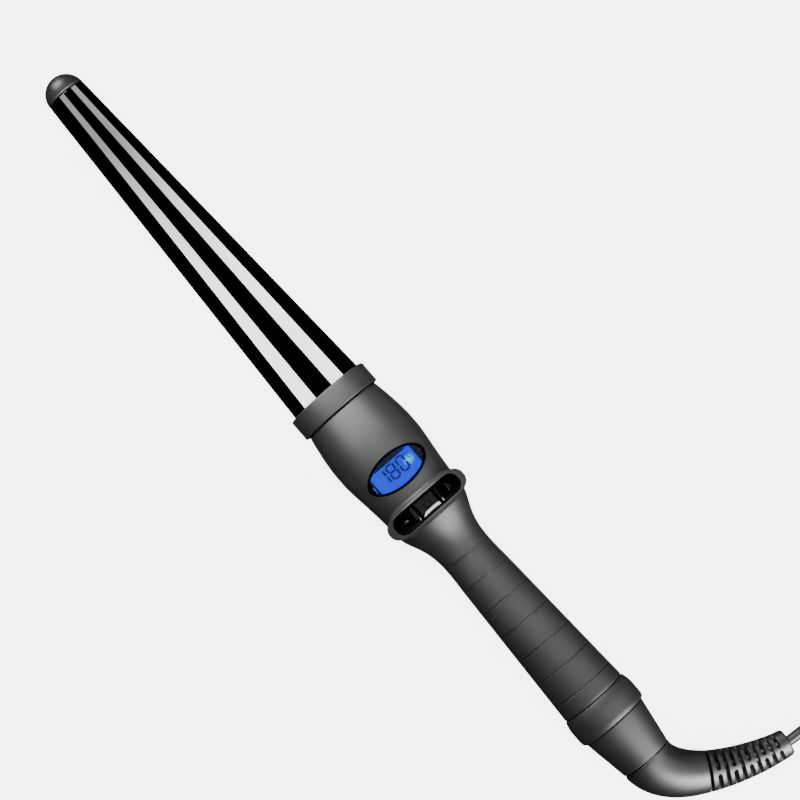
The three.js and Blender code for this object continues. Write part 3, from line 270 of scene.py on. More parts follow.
def sweep(name, centres, headings, section_at, sharp=35):
    """A closed solid along points, with a ring of (aside, up) offsets at each, up being +Z."""
    vertices = []
    rows = len(centres)
    count = len(section_at(0))
    for i, (centre, heading) in enumerate(zip(centres, headings)):
        aside = Vector((0, 0, 1)).cross(heading).normalized()
        up = heading.cross(aside).normalized()
        for a, u in section_at(i):
            vertices.append(centre + aside * a + up * u)
    return mesh_object(name, vertices, strips(rows, count) + end_caps(rows, count), sharp)


def headings_of(points):
    """The direction of a curve at each of its points."""
    out = []
    for i in range(len(points)):
        before = points[max(i - 1, 0)]
        after = points[min(i + 1, len(points) - 1)]
        out.append((after - before).normalized())
    return out


def box_mesh(name, low, high, bevel=0.0):
    x0, y0, z0 = low
    x1, y1, z1 = high
    corners = [(x, y, z) for x in (x0, x1) for y in (y0, y1) for z in (z0, z1)]
    faces = [(0, 1, 3, 2), (4, 6, 7, 5), (0, 4, 5, 1), (2, 3, 7, 6), (0, 2, 6, 4), (1, 5, 7, 3)]
    piece = mesh_object(name, corners, faces)
    if bevel:
        modifier = piece.modifiers.new("bevel", "BEVEL")
        modifier.width = bevel
        modifier.segments = 3
        apply_modifiers(piece)
    return piece


def prism(name, outline, z0, z1):
    """A closed solid over an outline of (x, y) points."""
    count = len(outline)
    vertices = [(x, y, z0) for x, y in outline] + [(x, y, z1) for x, y in outline]
    faces = [tuple(range(count))[::-1], tuple(range(count, 2 * count))]
    faces += [(j, (j + 1) % count, count + (j + 1) % count, count + j) for j in range(count)]
    return mesh_object(name, vertices, faces)


def apply_modifiers(piece):
    depsgraph = bpy.context.evaluated_depsgraph_get()
    mesh = bpy.data.meshes.new_from_object(piece.evaluated_get(depsgraph))
    piece.modifiers.clear()
    piece.data = mesh


def combine(piece, operation, others):
    """Adds other solids to a piece (UNION) or takes them away from it (DIFFERENCE)."""
    for other in others:
        modifier = piece.modifiers.new("combine", "BOOLEAN")
        modifier.operation = operation
        modifier.solver = "EXACT"
        modifier.object = other
    apply_modifiers(piece)
    for other in others:
        bpy.data.objects.remove(other)


def smooth(mesh, sharp=35):
    """Smooth shading, but for edges sharper than an angle in degrees."""
    mesh.shade_smooth()
    mesh.set_sharp_from_angle(angle=math.radians(sharp))


def new_piece(name, mesh):
    piece = bpy.data.objects.new(name, mesh)
    bpy.context.scene.collection.objects.link(piece)
    return piece


def joined(name, pieces):
    """One piece from several closed solids that stand apart or touch."""
    bm = bmesh.new()
    for piece in pieces:
        bm.from_mesh(piece.data)
        bpy.data.objects.remove(piece)
    mesh = bpy.data.meshes.new(name)
    bm.to_mesh(mesh)
    bm.free()
    smooth(mesh)
    return new_piece(name, mesh)


def place(piece, body, material, slot, *nodes, matrix=WAND):
    """Moves a finished piece from the wand's axes to the frame and gives it its body and looks."""
    piece.data.transform(matrix)
    piece.data.materials.clear()
    piece.data.materials.append(material)
    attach(piece, body)
    if nodes:
        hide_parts(*nodes)
    return piece


# ---------------------------------------------------------------- materials
class Nodes:
    """A material's node tree with short calls."""

    def __init__(self, name):
        self.material = bpy.data.materials.new(name)
        self.material.use_nodes = True
        self.tree = self.material.node_tree
        self.shader = self.tree.nodes["Principled BSDF"]
        self.coords = self.add("ShaderNodeTexCoord")

    def add(self, kind, **values):
        node = self.tree.nodes.new(kind)
        for key, value in values.items():
            if hasattr(node, key):
                setattr(node, key, value)
            else:
                node.inputs[key.replace("_", " ")].default_value = value
        return node

    def link(self, source, target):
        self.tree.links.new(source, target)

    def set(self, **values):
        for key, value in values.items():
            self.shader.inputs[key.replace("_", " ")].default_value = value

    def noise(self, scale, detail=4.0, roughness=0.5):
        node = self.add("ShaderNodeTexNoise", Scale=scale, Detail=detail, Roughness=roughness)
        self.link(self.coords.outputs["Object"], node.inputs["Vector"])
        return node.outputs["Fac"]

    def ramp(self, value, low, high, start=0.35, end=0.65):
        node = self.add("ShaderNodeValToRGB")
        node.color_ramp.elements[0].color = low
        node.color_ramp.elements[0].position = start
        node.color_ramp.elements[1].color = high
        node.color_ramp.elements[1].position = end
        self.link(value, node.inputs["Fac"])
        return node.outputs["Color"]

    def span(self, value, low, high):
        node = self.add("ShaderNodeMapRange")
        node.inputs["To Min"].default_value = low
        node.inputs["To Max"].default_value = high
        self.link(value, node.inputs["Value"])
        return node.outputs["Result"]

    def bump(self, value, distance, strength=1.0):
        node = self.add("ShaderNodeBump")
        node.inputs["Strength"].default_value = strength
        node.inputs["Distance"].default_value = distance
        self.link(value, node.inputs["Height"])
        self.link(node.outputs["Normal"], self.shader.inputs["Normal"])

    def color(self, output):
        self.link(output, self.shader.inputs["Base Color"])

    def roughness(self, output):
        self.link(output, self.shader.inputs["Roughness"])


def rgb(r, g=None, b=None):
    return (r, r if g is None else g, r if b is None else b, 1.0)


def moulded(name, low, high, rough=(0.4, 0.5), grain=0.012 * MM, grain_scale=2600, patch_scale=45,
            shine=0.5):
    """Moulded plastic or rubber: a fine grain, faint cloudy colour and uneven polish."""
    nodes = Nodes(name)
    cloud = nodes.noise(patch_scale, 5)
    nodes.color(nodes.ramp(cloud, low, high))
    nodes.roughness(nodes.span(nodes.noise(patch_scale * 3, 6), *rough))
    nodes.bump(nodes.noise(grain_scale, 2), grain, 0.5)
    nodes.set(Specular_IOR_Level=shine)
    return nodes.material


def glossy_black(name, rough=(0.03, 0.07), base=(0.003, 0.005)):
    nodes = Nodes(name)
    nodes.color(nodes.ramp(nodes.noise(60), rgb(base[0]), rgb(base[1])))
    nodes.roughness(nodes.span(nodes.noise(240, 6), *rough))
    nodes.set(Coat_Weight=0.4, Coat_Roughness=0.02)
    nodes.bump(nodes.noise(900, 2), 0.0006 * MM, 0.15)
    return nodes.material


def metal(name, low, high, rough=(0.2, 0.35), brushed=(1, 1, 40)):
    nodes = Nodes(name)
    mapping = nodes.add("ShaderNodeMapping")
    mapping.inputs["Scale"].default_value = brushed
    nodes.link(nodes.coords.outputs["Object"], mapping.inputs["Vector"])
    streaks = nodes.add("ShaderNodeTexNoise", Scale=400, Detail=5)
    nodes.link(mapping.outputs["Vector"], streaks.inputs["Vector"])
    nodes.color(nodes.ramp(streaks.outputs["Fac"], low, high))
    nodes.roughness(nodes.span(streaks.outputs["Fac"], *rough))
    nodes.set(Metallic=1.0)
    return nodes.material


def ceramic(name, low, high):
    nodes = Nodes(name)
    grain = nodes.add("ShaderNodeTexVoronoi", Scale=900)
    nodes.link(nodes.coords.outputs["Object"], grain.inputs["Vector"])
    nodes.color(nodes.ramp(grain.outputs["Distance"], low, high, 0.1, 0.6))
    nodes.roughness(nodes.span(nodes.noise(300), 0.6, 0.8))
    nodes.bump(grain.outputs["Distance"], 0.02 * MM, 0.4)
    return nodes.material


def board_material(name):
    """Solder mask over copper tracks: a fine checked pattern, slightly raised."""
    nodes = Nodes(name)
    tracks = nodes.add("ShaderNodeTexBrick", Scale=260)
    tracks.inputs["Mortar Size"].default_value = 0.03
    tracks.inputs["Color1"].default_value = rgb(0.012, 0.16, 0.05)
    tracks.inputs["Color2"].default_value = rgb(0.016, 0.2, 0.07)
    tracks.inputs["Mortar"].default_value = rgb(0.03, 0.3, 0.12)
    nodes.link(nodes.coords.outputs["Object"], tracks.inputs["Vector"])
    nodes.color(tracks.outputs["Color"])
    nodes.roughness(nodes.span(nodes.noise(200), 0.35, 0.5))
    nodes.bump(tracks.outputs["Fac"], 0.02 * MM, 0.3)
    return nodes.material


def window_glass(name):
    nodes = Nodes(name)
    nodes.color(nodes.ramp(nodes.noise(40), rgb(0.93, 0.95, 1.0), rgb(0.97, 0.98, 1.0)))
    nodes.roughness(nodes.span(nodes.noise(300), 0.0, 0.02))
    nodes.set(Transmission_Weight=1.0, IOR=1.3)
    return nodes.material


def lit_panel(name, centre):
    """The backlit display: bright blue, paler near the lamp at its right-hand end."""
    nodes = Nodes(name)
    offset = nodes.add("ShaderNodeMapping")
    offset.inputs["Location"].default_value = tuple(-c for c in centre)
    nodes.link(nodes.coords.outputs["Object"], offset.inputs["Vector"])
    length = nodes.add("ShaderNodeVectorMath", operation="LENGTH")
    nodes.link(offset.outputs["Vector"], length.inputs[0])
    near = nodes.add("ShaderNodeMapRange")
    near.inputs["From Min"].default_value = 0
    near.inputs["From Max"].default_value = 2.8 * MM
    near.interpolation_type = "SMOOTHERSTEP"
    nodes.link(length.outputs["Value"], near.inputs["Value"])
    blue = nodes.ramp(near.outputs["Result"], rgb(0.01, 0.4, 0.7), rgb(0.0, 0.02, 0.62), 0.0, 0.8)
    cloud = nodes.add("ShaderNodeMixRGB", blend_type="MULTIPLY")
    cloud.inputs["Fac"].default_value = 0.6
    nodes.link(blue, cloud.inputs["Color1"])
    nodes.link(nodes.ramp(nodes.noise(260, 3), rgb(0.78), rgb(1.0)), cloud.inputs["Color2"])
    nodes.color(cloud.outputs["Color"])
    nodes.link(cloud.outputs["Color"], nodes.shader.inputs["Emission Color"])
    nodes.set(Emission_Strength=1.7, Roughness=0.25, Specular_IOR_Level=0)
    return nodes.material


def digit_ink(name):
    """A digit's dark bar: it still lets a little of the blue light through."""
    nodes = Nodes(name)
    tint = nodes.ramp(nodes.noise(260, 3), rgb(0.0, 0.002, 0.05), rgb(0.0, 0.003, 0.08))
    nodes.color(tint)
    nodes.link(tint, nodes.shader.inputs["Emission Color"])
    nodes.set(Emission_Strength=1.0, Roughness=0.5, Specular_IOR_Level=0)
    return nodes.material


SOFT = moulded("soft_touch", rgb(0.026, 0.026, 0.027), rgb(0.034, 0.034, 0.035), (0.46, 0.54))
CAP = moulded("tip_satin", rgb(0.045), rgb(0.062), (0.34, 0.42))
BARREL = glossy_black("barrel_gloss", (0.02, 0.045), (0.0012, 0.002))
KEYS = glossy_black("key_gloss", (0.05, 0.1))
RIM = glossy_black("rim_gloss", (0.06, 0.12))
RELIEF = moulded("relief_pvc", rgb(0.018, 0.018, 0.019), rgb(0.026, 0.026, 0.027), (0.36, 0.46))
CORD = moulded("cord_pvc", rgb(0.02), rgb(0.03), (0.4, 0.52))
TIE = moulded("tie_plastic", rgb(0.01), rgb(0.016), (0.5, 0.6))
PLUG = moulded("plug_pvc", rgb(0.018), rgb(0.026), (0.42, 0.52), 0.03 * MM, 1800)
HEATPROOF = moulded("heatproof", rgb(0.07, 0.06, 0.045), rgb(0.11, 0.095, 0.07), (0.5, 0.7))
WASHER = ceramic("washer_mica", rgb(0.5, 0.4, 0.22), rgb(0.62, 0.52, 0.32))
CERAMIC = ceramic("heater_ceramic", rgb(0.62, 0.58, 0.5), rgb(0.8, 0.76, 0.68))
ALUMINIUM = metal("spreader_metal", rgb(0.6, 0.61, 0.62), rgb(0.76, 0.77, 0.78), (0.3, 0.45))
STEEL = metal("zinc_steel", rgb(0.45, 0.46, 0.48), rgb(0.62, 0.63, 0.66), (0.22, 0.36))
BRASS = metal("contact_brass", rgb(0.6, 0.42, 0.14), rgb(0.8, 0.6, 0.26), (0.15, 0.3))
NICKEL = metal("pin_nickel", rgb(0.6, 0.59, 0.56), rgb(0.75, 0.74, 0.7), (0.12, 0.22))
BOARD = board_material("solder_mask")
CHIP = moulded("chip_epoxy", rgb(0.014), rgb(0.022), (0.4, 0.55))
WHITE = moulded("white_plastic", rgb(0.72, 0.72, 0.7), rgb(0.84, 0.84, 0.82), (0.4, 0.5))
GREY = moulded("switch_grey", rgb(0.28, 0.29, 0.3), rgb(0.38, 0.39, 0.4), (0.4, 0.5))
YELLOW = moulded("film_yellow", rgb(0.62, 0.42, 0.05), rgb(0.78, 0.55, 0.09), (0.25, 0.35))
BLUE = moulded("sleeve_blue", rgb(0.02, 0.045, 0.17), rgb(0.035, 0.07, 0.25), (0.25, 0.35))
RED = moulded("wire_red", rgb(0.4, 0.02, 0.012), rgb(0.5, 0.035, 0.02), (0.4, 0.55))
BLACK = moulded("wire_black", rgb(0.012), rgb(0.02), (0.4, 0.55))
PALE = moulded("wire_white", rgb(0.66, 0.66, 0.62), rgb(0.8, 0.8, 0.76), (0.4, 0.55))
BEAD = moulded("sensor_glass", rgb(0.35, 0.36, 0.36), rgb(0.55, 0.57, 0.57), (0.08, 0.16))
INK = digit_ink("digit_ink")
NAVY = moulded("display_navy", rgb(0.0008, 0.004, 0.015), rgb(0.001, 0.007, 0.026), (0.4, 0.5), shine=0)
GLASS = window_glass("window_glass")


# ---------------------------------------------------------------- camera
def make_camera():
    """Above the wand, leaning a little towards its lead and away from the side the lead leaves by."""
    target = WAND @ Vector((138.9 * MM, 15.5 * MM, 0))
    lean = Vector((math.sin(math.radians(2.7)), -math.sin(math.radians(4.3)), 1)).normalized()
    toward = (WAND.to_3x3() @ lean).normalized()
    wand_on_picture = math.radians(48.8)
    up = Vector((-math.sin(wand_on_picture), math.cos(wand_on_picture), 0))
    right = up.cross(toward).normalized()
    up = toward.cross(right).normalized()
    distance = 0.7585
    data = bpy.data.cameras.new("camera")
    data.sensor_width = 36
    data.lens = 111
    data.clip_start = 0.01
    camera = bpy.data.objects.new("camera", data)
    bpy.context.scene.collection.objects.link(camera)
    turn = Matrix((right, up, toward)).transposed()
    camera.matrix_world = Matrix.Translation(target + toward * distance) @ turn.to_4x4()
    bpy.context.scene.camera = camera


make_camera()

# ---------------------------------------------------------------- the lead
# Its free run, from the strain relief's end: two distances in X and Y, and a height above the table.
CORD_ROUTE = [
    (0.6, 6, 10.4), (1.6, 12, 9), (4.2, 18.5, 7), (8.6, 24.5, 5.4), (14.4, 29.4, 4.4),
    (21.6, 32.9, 3.9), (30, 34.2, 3.8), (38, 34.4, 3.8), (46, 34.3, 3.8), (53.2, 34.2, 3.8),
]
COIL_CENTRE = (69.6 * MM, -1.8 * MM)
# Its end, from the coil's centre and above the coil's top.
CORD_END_ROUTE = [
    (-35, 3.5, 3.4), (-33.3, 13.2, 4.4), (-27.2, 21.6, 5.4), (-18.2, 26.4, 6.2),
    (-8.2, 26.6, 6.9), (0.6, 22.2, 7.2), (6, 14, 7.2),
]


def relief_curve(steps_elbow=40, steps_boot=110):
    """Centres along the elbow and the boot, in the wand's axes."""
    def point(place_, reach):
        along, aside, heading = place_
        angle = math.radians(heading)
        return (ELBOW_START + along + reach * math.cos(angle), aside + reach * math.sin(angle), 0)

    elbow = bezier(
        (ELBOW_START, 0, 0), (ELBOW_START + BOOT_START[0] * 0.4, 0, 0),
        point(BOOT_START, -7.4 * MM), point(BOOT_START, 0), steps_elbow)
    boot = bezier(
        point(BOOT_START, 0), point(BOOT_START, 8 * MM),
        point(BOOT_END, -8 * MM), point(BOOT_END, 0), steps_boot)
    return [Vector((ELBOW_START, 0, 0))] + [Vector(p) for p in elbow], [Vector(p) for p in boot]


def smooth_through(points, spacing):
    """A smooth curve through points, as points about a spacing apart."""
    out = [points[0]]
    ends = [2 * points[0] - points[1]] + points + [2 * points[-1] - points[-2]]
    for p0, p1, p2, p3 in zip(ends, ends[1:], ends[2:], ends[3:]):
        steps = max(2, round((p2 - p1).length / spacing))
        for i in range(1, steps + 1):
            t = i / steps
            out.append(0.5 * (
                2 * p1 + (p2 - p0) * t + (2 * p0 - 5 * p1 + 4 * p2 - p3) * t * t
                + (3 * p1 - p0 - 3 * p2 + p3) * t ** 3))
    return out


def relief_end():
    _, boot = relief_curve()
    heading = (boot[-1] - boot[-2]).normalized()
    return WAND @ boot[-1], (WAND.to_3x3() @ heading).normalized()


def coil_turns(centre, low):
    """The wound part: one layer inwards along the table, then one outwards on top of it."""
    turns = 8.761
    climb = 0.15                     # share of a turn in which it rises to the upper layer
    pitch = CORD_THICKNESS + 0.1 * MM
    outer = 35.95 * MM
    layer = CORD_WIDTH + 0.1 * MM
    below = (turns - climb) / 2
    lift = 0.24
    steps = round(turns * 48)
    points = []
    for i in range(steps + 1):
        u = turns * i / steps
        if u < below:
            radius = outer - pitch * u
            height = low + layer / 2
        else:
            rise = min(1, (u - below) / climb)
            radius = outer - pitch * below + pitch * max(0, u - below - climb)
            height = low + layer / 2 + layer * rise * rise * (3 - 2 * rise)
        leave = max(0, (u - turns + lift) / lift)
        height += leave * leave * (3 - 2 * leave) * 5.9 * MM
        angle = math.pi / 2 - 2 * math.pi * u
        points.append(Vector((
            centre.x + radius * math.cos(angle), centre.y + radius * math.sin(angle), height)))
    return points


def lead_path():
    """The lead's middle line: its free run, the coil and the end that goes into the plug."""
    exit_point, heading = relief_end()
    centre = exit_point + heading * GAP + Vector((*COIL_CENTRE, 0))
    low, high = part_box("cord_coil")
    start = exit_point + heading * GAP
    first = [exit_point - heading * 0.5 * MM, exit_point + heading * 1.5 * MM]
    first += [
        Vector((start.x + dx * MM, start.y + dy * MM, height * MM)) for dx, dy, height in CORD_ROUTE]
    last = [
        Vector((centre.x + dx * MM, centre.y + dy * MM, high.z + height * MM))
        for dx, dy, height in CORD_END_ROUTE]
    plug_low, plug_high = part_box("plug_body")
    entry = Vector((
        centre.x + CORD_INTO_PLUG[0], centre.y + CORD_INTO_PLUG[1], (plug_low.z + plug_high.z) / 2))
    coil = coil_turns(centre, low.z)
    free = smooth_through(first, CORD_STEP)
    end = smooth_through([coil[-2], coil[-1]] + last[1:] + [entry], CORD_STEP)[1:]
    return free + coil + end


def flat_section(half_width, half_thickness, steps=9):
    """Two cores side by side: two half rounds with a shallow valley between them."""
    ring = []
    reach = half_width - half_thickness
    for i in range(steps + 1):
        angle = math.pi * i / steps
        ring.append((half_thickness * math.cos(angle), reach + half_thickness * math.sin(angle)))
    ring.append((-half_thickness * 0.88, 0))
    for i in range(steps + 1):
        angle = math.pi + math.pi * i / steps
        ring.append((half_thickness * math.cos(angle), -reach + half_thickness * math.sin(angle)))
    ring.append((half_thickness * 0.88, 0))
    return ring


def make_lead():
    path = lead_path()
    section = flat_section(CORD_WIDTH / 2, CORD_THICKNESS / 2)
    piece = sweep("lead", path, headings_of(path), lambda i: section, 60)
    place(piece, "swivel", CORD, "cord_pvc", "power_cord", "cord_coil", "cord_end",
          matrix=Matrix.Identity(4))
    return piece, path


lead, lead_points = make_lead()


# ---------------------------------------------------------------- barrel, collar and tail
def barrel_radius(x):
    return TIP_R + (BARREL_R - TIP_R) * x / COLLAR_START


def make_barrel():
    outline = rounded([
        (0, barrel_radius(0) - BARREL_WALL),
        (0, barrel_radius(0)),
        (BARREL_END, barrel_radius(BARREL_END)),
        (BARREL_END, barrel_radius(BARREL_END) - BARREL_WALL),
    ], [0.25 * MM, 0.25 * MM])
    place(lathe("barrel", outline, 256), "handle", BARREL, "black_barrel", "barrel_tube")


def make_tip():
    spigot = barrel_radius(0) - 1.5 * MM
    steps = 28
    dome = [(-GAP - TIP_R * math.cos(math.pi / 2 * i / steps), TIP_R * math.sin(math.pi / 2 * i / steps))
            for i in range(steps)]
    edge = rounded([(-GAP - 1.2 * MM, TIP_R), (-GAP, TIP_R), (-GAP, spigot)], [0.35 * MM])
    outline = dome + edge[1:] + [(6 * MM, spigot), (6 * MM, 0)]
    place(lathe("tip", outline, 160), "handle", CAP, "tip_plastic", "tip_cap")


def make_collar():
    bore = BARREL_R + GAP
    outline = rounded([
        (COLLAR_START, bore),
        (COLLAR_START, COLLAR_R),
        (COLLAR_END, COLLAR_R),
        (COLLAR_END, bore + 0.35 * MM),
    ], [1.4 * MM, 0.3 * MM], 8)
    place(lathe("collar", outline, 200), "handle", SOFT, "soft_touch_plastic", "collar_ring")


def make_tail_ring():
    bore = SPIGOT_R + GAP
    outline = rounded([
        (RING_START, bore),
        (RING_START, RING_START_R),
        (RING_START + 2.6 * MM, RING_R),
        (RING_END - 1.2 * MM, RING_R),
        (RING_END, RING_R - 0.35 * MM),
        (RING_END, bore),
    ], [0.4 * MM, 1.6 * MM, 0.8 * MM, 0.2 * MM], 6)
    place(lathe("tail_collar", outline, 200), "handle", SOFT, "soft_touch_plastic", "tail_ring")


def make_tail_cone():
    outline = rounded([
        (CONE_START, CONE_START_R - CONE_WALL),
        (CONE_START, CONE_START_R),
        (CONE_END - 4 * MM, CONE_END_R + 0.55 * MM),
        (CONE_END, CONE_END_R - 0.1 * MM),
        (CONE_END, RELIEF_BORE),
        (CONE_END - 2.4 * MM, RELIEF_BORE),
        (CONE_END - 2.4 * MM, CONE_END_R - 1.6 * MM),
    ], [0.3 * MM, 3 * MM, 0.35 * MM, 0.1 * MM, 0.1 * MM], 6)
    place(lathe("tail_cup", outline, 200), "handle", SOFT, "soft_touch_plastic", "tail_cone")


make_barrel()
make_tip()
make_collar()
make_tail_ring()
make_tail_cone()


# ---------------------------------------------------------------- handle shells
def smooth_step(t):
    t = min(1, max(0, t))
    return t * t * (3 - 2 * t)


def handle_outline(steps=28):
    """(station, radius) along the handle's outside."""
    belly = HEAD_START + BELLY_AT
    lip = HEAD_START + LIP_AT
    fall = NECK - lip
    grip_from = NECK + 10 * MM
    slope = (GRIP_END_R - NECK_R) / (GRIP_END - NECK)
    points = [(HEAD_START, SHOULDER_R)]
    points += bezier(points[-1], (HEAD_START + 5 * MM, SHOULDER_R + MM), (belly - 5 * MM, BELLY_R),
                     (belly - BELLY_FLAT / 2, BELLY_R), steps)
    points.append((belly + BELLY_FLAT / 2, BELLY_R))
    points += bezier(points[-1], (belly + 6 * MM, BELLY_R), (lip - 12 * MM, LIP_R + 0.5 * MM),
                     (lip, LIP_R), steps)
    points += bezier(points[-1], (lip + fall * 0.26, LIP_R - 0.2 * MM), (lip + fall * 0.4, NECK_R),
                     (NECK, NECK_R), steps)
    points += bezier(points[-1], (NECK + 4 * MM, NECK_R), (grip_from - 4 * MM, NECK_R + slope * 6 * MM),
                     (grip_from, NECK_R + slope * 10 * MM), steps)
    points.append((GRIP_END, GRIP_END_R))
    return points


OUTLINE = handle_outline()


def handle_radius(x):
    for (x0, r0), (x1, r1) in zip(OUTLINE, OUTLINE[1:]):
        if x <= x1:
            return r0 + (r1 - r0) * max(0, x - x0) / (x1 - x0)
    return GRIP_END_R


def stadium_distance(x, y, half_length, radius):
    """How far a point lies outside a stadium across the wand, or inside it if negative."""
    along = max(0, abs(y) - (half_length - radius))
    return math.hypot(x - BUTTON_X, along) - radius


def pad_rise(x, angle, radius):
    """How much the raised pad adds to the handle's radius."""
    centre = PAD_TOP - PAD_CROWN
    cosine = math.cos(angle)
    crown = centre * cosine + math.sqrt((centre * cosine) ** 2 - centre ** 2 + PAD_CROWN ** 2)
    distance = stadium_distance(
        x, crown * math.sin(angle), PAD_LENGTH / 2 + PAD_SLOPE, PAD_WIDTH / 2 + 0.4 * MM)
    return smooth_step(-distance / PAD_SLOPE) * max(0, crown - radius)


def groove_depth(x, angle):
    """Shallow grooves over the grip that fade out towards its sides."""
    depth = 0
    for i in range(GROOVES):
        offset = abs(x - HEAD_START - GROOVE_AT - i * GROOVE_PITCH)
        if offset < GROOVE_REACH:
            depth = GROOVE_DEPTH * smooth_step((0.42 * MM - offset) / (0.3 * MM))
    fade = smooth_step((math.radians(78) - abs(angle)) / math.radians(26))
    return depth * fade


def shell_stations(pad):
    """Stations along the handle, close together at the pad and at each groove."""
    stations = set()

    def add(start, end, step):
        count = max(1, round((end - start) / step))
        stations.update(round(start + (end - start) * i / count, 7) for i in range(count + 1))

    add(HEAD_START + SHELL_EDGE, GRIP_END - SHELL_EDGE, 0.9 * MM)
    if pad:
        add(BUTTON_X - 7 * MM, BUTTON_X + 7 * MM, 0.25 * MM)
        for i in range(GROOVES):
            centre = HEAD_START + GROOVE_AT + i * GROOVE_PITCH
            add(centre - GROOVE_REACH, centre + GROOVE_REACH, 0.1 * MM)
    return sorted(stations)


def shell_profile(pad):
    """Closed (station, radius, is_outside) loop of a shell's section."""
    edge = SHELL_EDGE
    spigot_inner = SPIGOT_R - SPIGOT_WALL
    profile = [
        (HEAD_START, SHOULDER_R - WALL, False), (HEAD_START, SHOULDER_R - edge, False),
        (HEAD_START + edge * 0.3, SHOULDER_R - edge * 0.3, False)]
    profile += [(x, handle_radius(x), True) for x in shell_stations(pad)]
    profile += [
        (GRIP_END - edge * 0.3, GRIP_END_R - edge * 0.3, False), (GRIP_END, GRIP_END_R - edge, False),
        (GRIP_END, SPIGOT_R, False), (SPIGOT_END, SPIGOT_R, False), (SPIGOT_END, spigot_inner, False),
        (GRIP_END - 3 * MM, spigot_inner, False), (GRIP_END - 3 * MM, GRIP_END_R - WALL - 0.2 * MM, False)]
    inside = [x for x in shell_stations(False) if x < GRIP_END - 4 * MM]
    profile += [(x, handle_radius(x) - WALL, False) for x in reversed(inside)]
    return profile


def half_shell(name, side, columns):
    """One half of the handle: side is +1 for the front half and -1 for the back one."""
    profile = shell_profile(side > 0)
    vertices = []
    for x, r, outside in profile:
        widest = math.acos(GAP / 2 / r)
        for j in range(columns + 1):
            angle = widest * (2 * j / columns - 1)
            radius = r
            if outside and side > 0:
                radius += pad_rise(x, angle, r) - groove_depth(x, angle)
            vertices.append((x, radius * math.sin(angle), side * radius * math.cos(angle)))
    rows = len(profile)
    across = columns + 1
    faces = strips(rows, across, closed=True, round_=False)
    faces.append(tuple(i * across for i in range(rows)))
    faces.append(tuple(i * across + columns for i in reversed(range(rows))))
    return mesh_object(name, vertices, faces)


def ellipse_points(width, length, steps=120):
    return [(DISPLAY_X + width / 2 * math.cos(2 * math.pi * i / steps),
             length / 2 * math.sin(2 * math.pi * i / steps)) for i in range(steps)]


def stadium_points(width, length, steps=32):
    radius = width / 2
    reach = length / 2 - radius
    points = []
    for end in (1, -1):
        for i in range(steps + 1):
            angle = math.pi * i / steps
            points.append((BUTTON_X + end * radius * math.cos(angle),
                           end * (reach + radius * math.sin(angle))))
    return points


def post(name, x, z0, z1, radius, sides=48):
    """A round post or hole at a screw."""
    angles = [2 * math.pi * i / sides for i in range(sides)]
    return prism(name, [(x + radius * math.cos(a), radius * math.sin(a)) for a in angles], z0, z1)


def make_front_shell():
    shell = half_shell("handle_front", 1, 128)
    far = 40 * MM
    bosses = [post("boss", x, GAP / 2, handle_radius(x) - MM, 2.9 * MM) for x in SCREWS]
    combine(shell, "UNION", bosses)
    pilots = [post("pilot", x, -MM, 5.2 * MM, 1.45 * MM) for x in SCREWS]
    window = prism("window", ellipse_points(DISPLAY_WIDTH + 2 * GAP, DISPLAY_LENGTH + 2 * GAP), 3 * MM, far)
    pill = prism("pill", stadium_points(PILL_WIDTH, PILL_LENGTH), 3 * MM, far)
    combine(shell, "DIFFERENCE", [window, pill, *pilots])
    smooth(shell.data)
    place(shell, "handle", SOFT, "soft_touch_plastic", "front_shell")


def make_back_shell():
    shell = half_shell("handle_back", -1, 96)
    far = -40 * MM
    bosses = [post("boss", x, -handle_radius(x) + MM, -GAP / 2, 3.3 * MM) for x in SCREWS]
    combine(shell, "UNION", bosses)
    sinks = [post("sink", x, far, 3.4 * MM - handle_radius(x), 2.6 * MM) for x in SCREWS]
    holes = [post("hole", x, far, MM, 1.45 * MM) for x in SCREWS]
    combine(shell, "DIFFERENCE", [*sinks, *holes])
    smooth(shell.data)
    place(shell, "handle", SOFT, "soft_touch_plastic", "back_shell")


make_front_shell()
make_back_shell()


# ---------------------------------------------------------------- display
def skin_height(x, y, offset=0.0):
    return math.sqrt((handle_radius(x) + offset) ** 2 - y * y)


def disc_grid(name, outline, top, bottom, rings=12, edge=0.0):
    """A closed solid over an outline: height functions of (x, y) give its top and its bottom."""
    count = len(outline)
    cx = sum(x for x, _ in outline) / count
    cy = sum(y for _, y in outline) / count
    reach_x = max(abs(x - cx) for x, _ in outline)
    reach_y = max(abs(y - cy) for _, y in outline)
    turns = [math.pi / 2 * i / 5 for i in range(6)] if edge else [math.pi / 2]
    vertices = [(x, y, bottom(x, y)) for x, y in outline]
    layers = []       # (share of the outline's x, share of its y, how far below the top)
    for turn in turns:
        inset = edge * (1 - math.cos(turn))
        layers.append((1 - inset / reach_x, 1 - inset / reach_y, edge * (1 - math.sin(turn))))
    share_x, share_y, _ = layers[-1]
    for i in range(1, rings):
        layers.append((share_x * (1 - i / rings), share_y * (1 - i / rings), 0))
    for sx, sy, drop in layers:
        for x, y in outline:
            px = cx + (x - cx) * sx
            py = cy + (y - cy) * sy
            vertices.append((px, py, top(px, py) - drop))
    vertices.append((cx, cy, top(cx, cy)))
    faces = [tuple(range(count))[::-1]] + strips(len(layers) + 1, count)
    last = len(layers) * count
    for j in range(count):
        faces.append((last + j, last + (j + 1) % count, len(vertices) - 1))
    return mesh_object(name, vertices, faces)


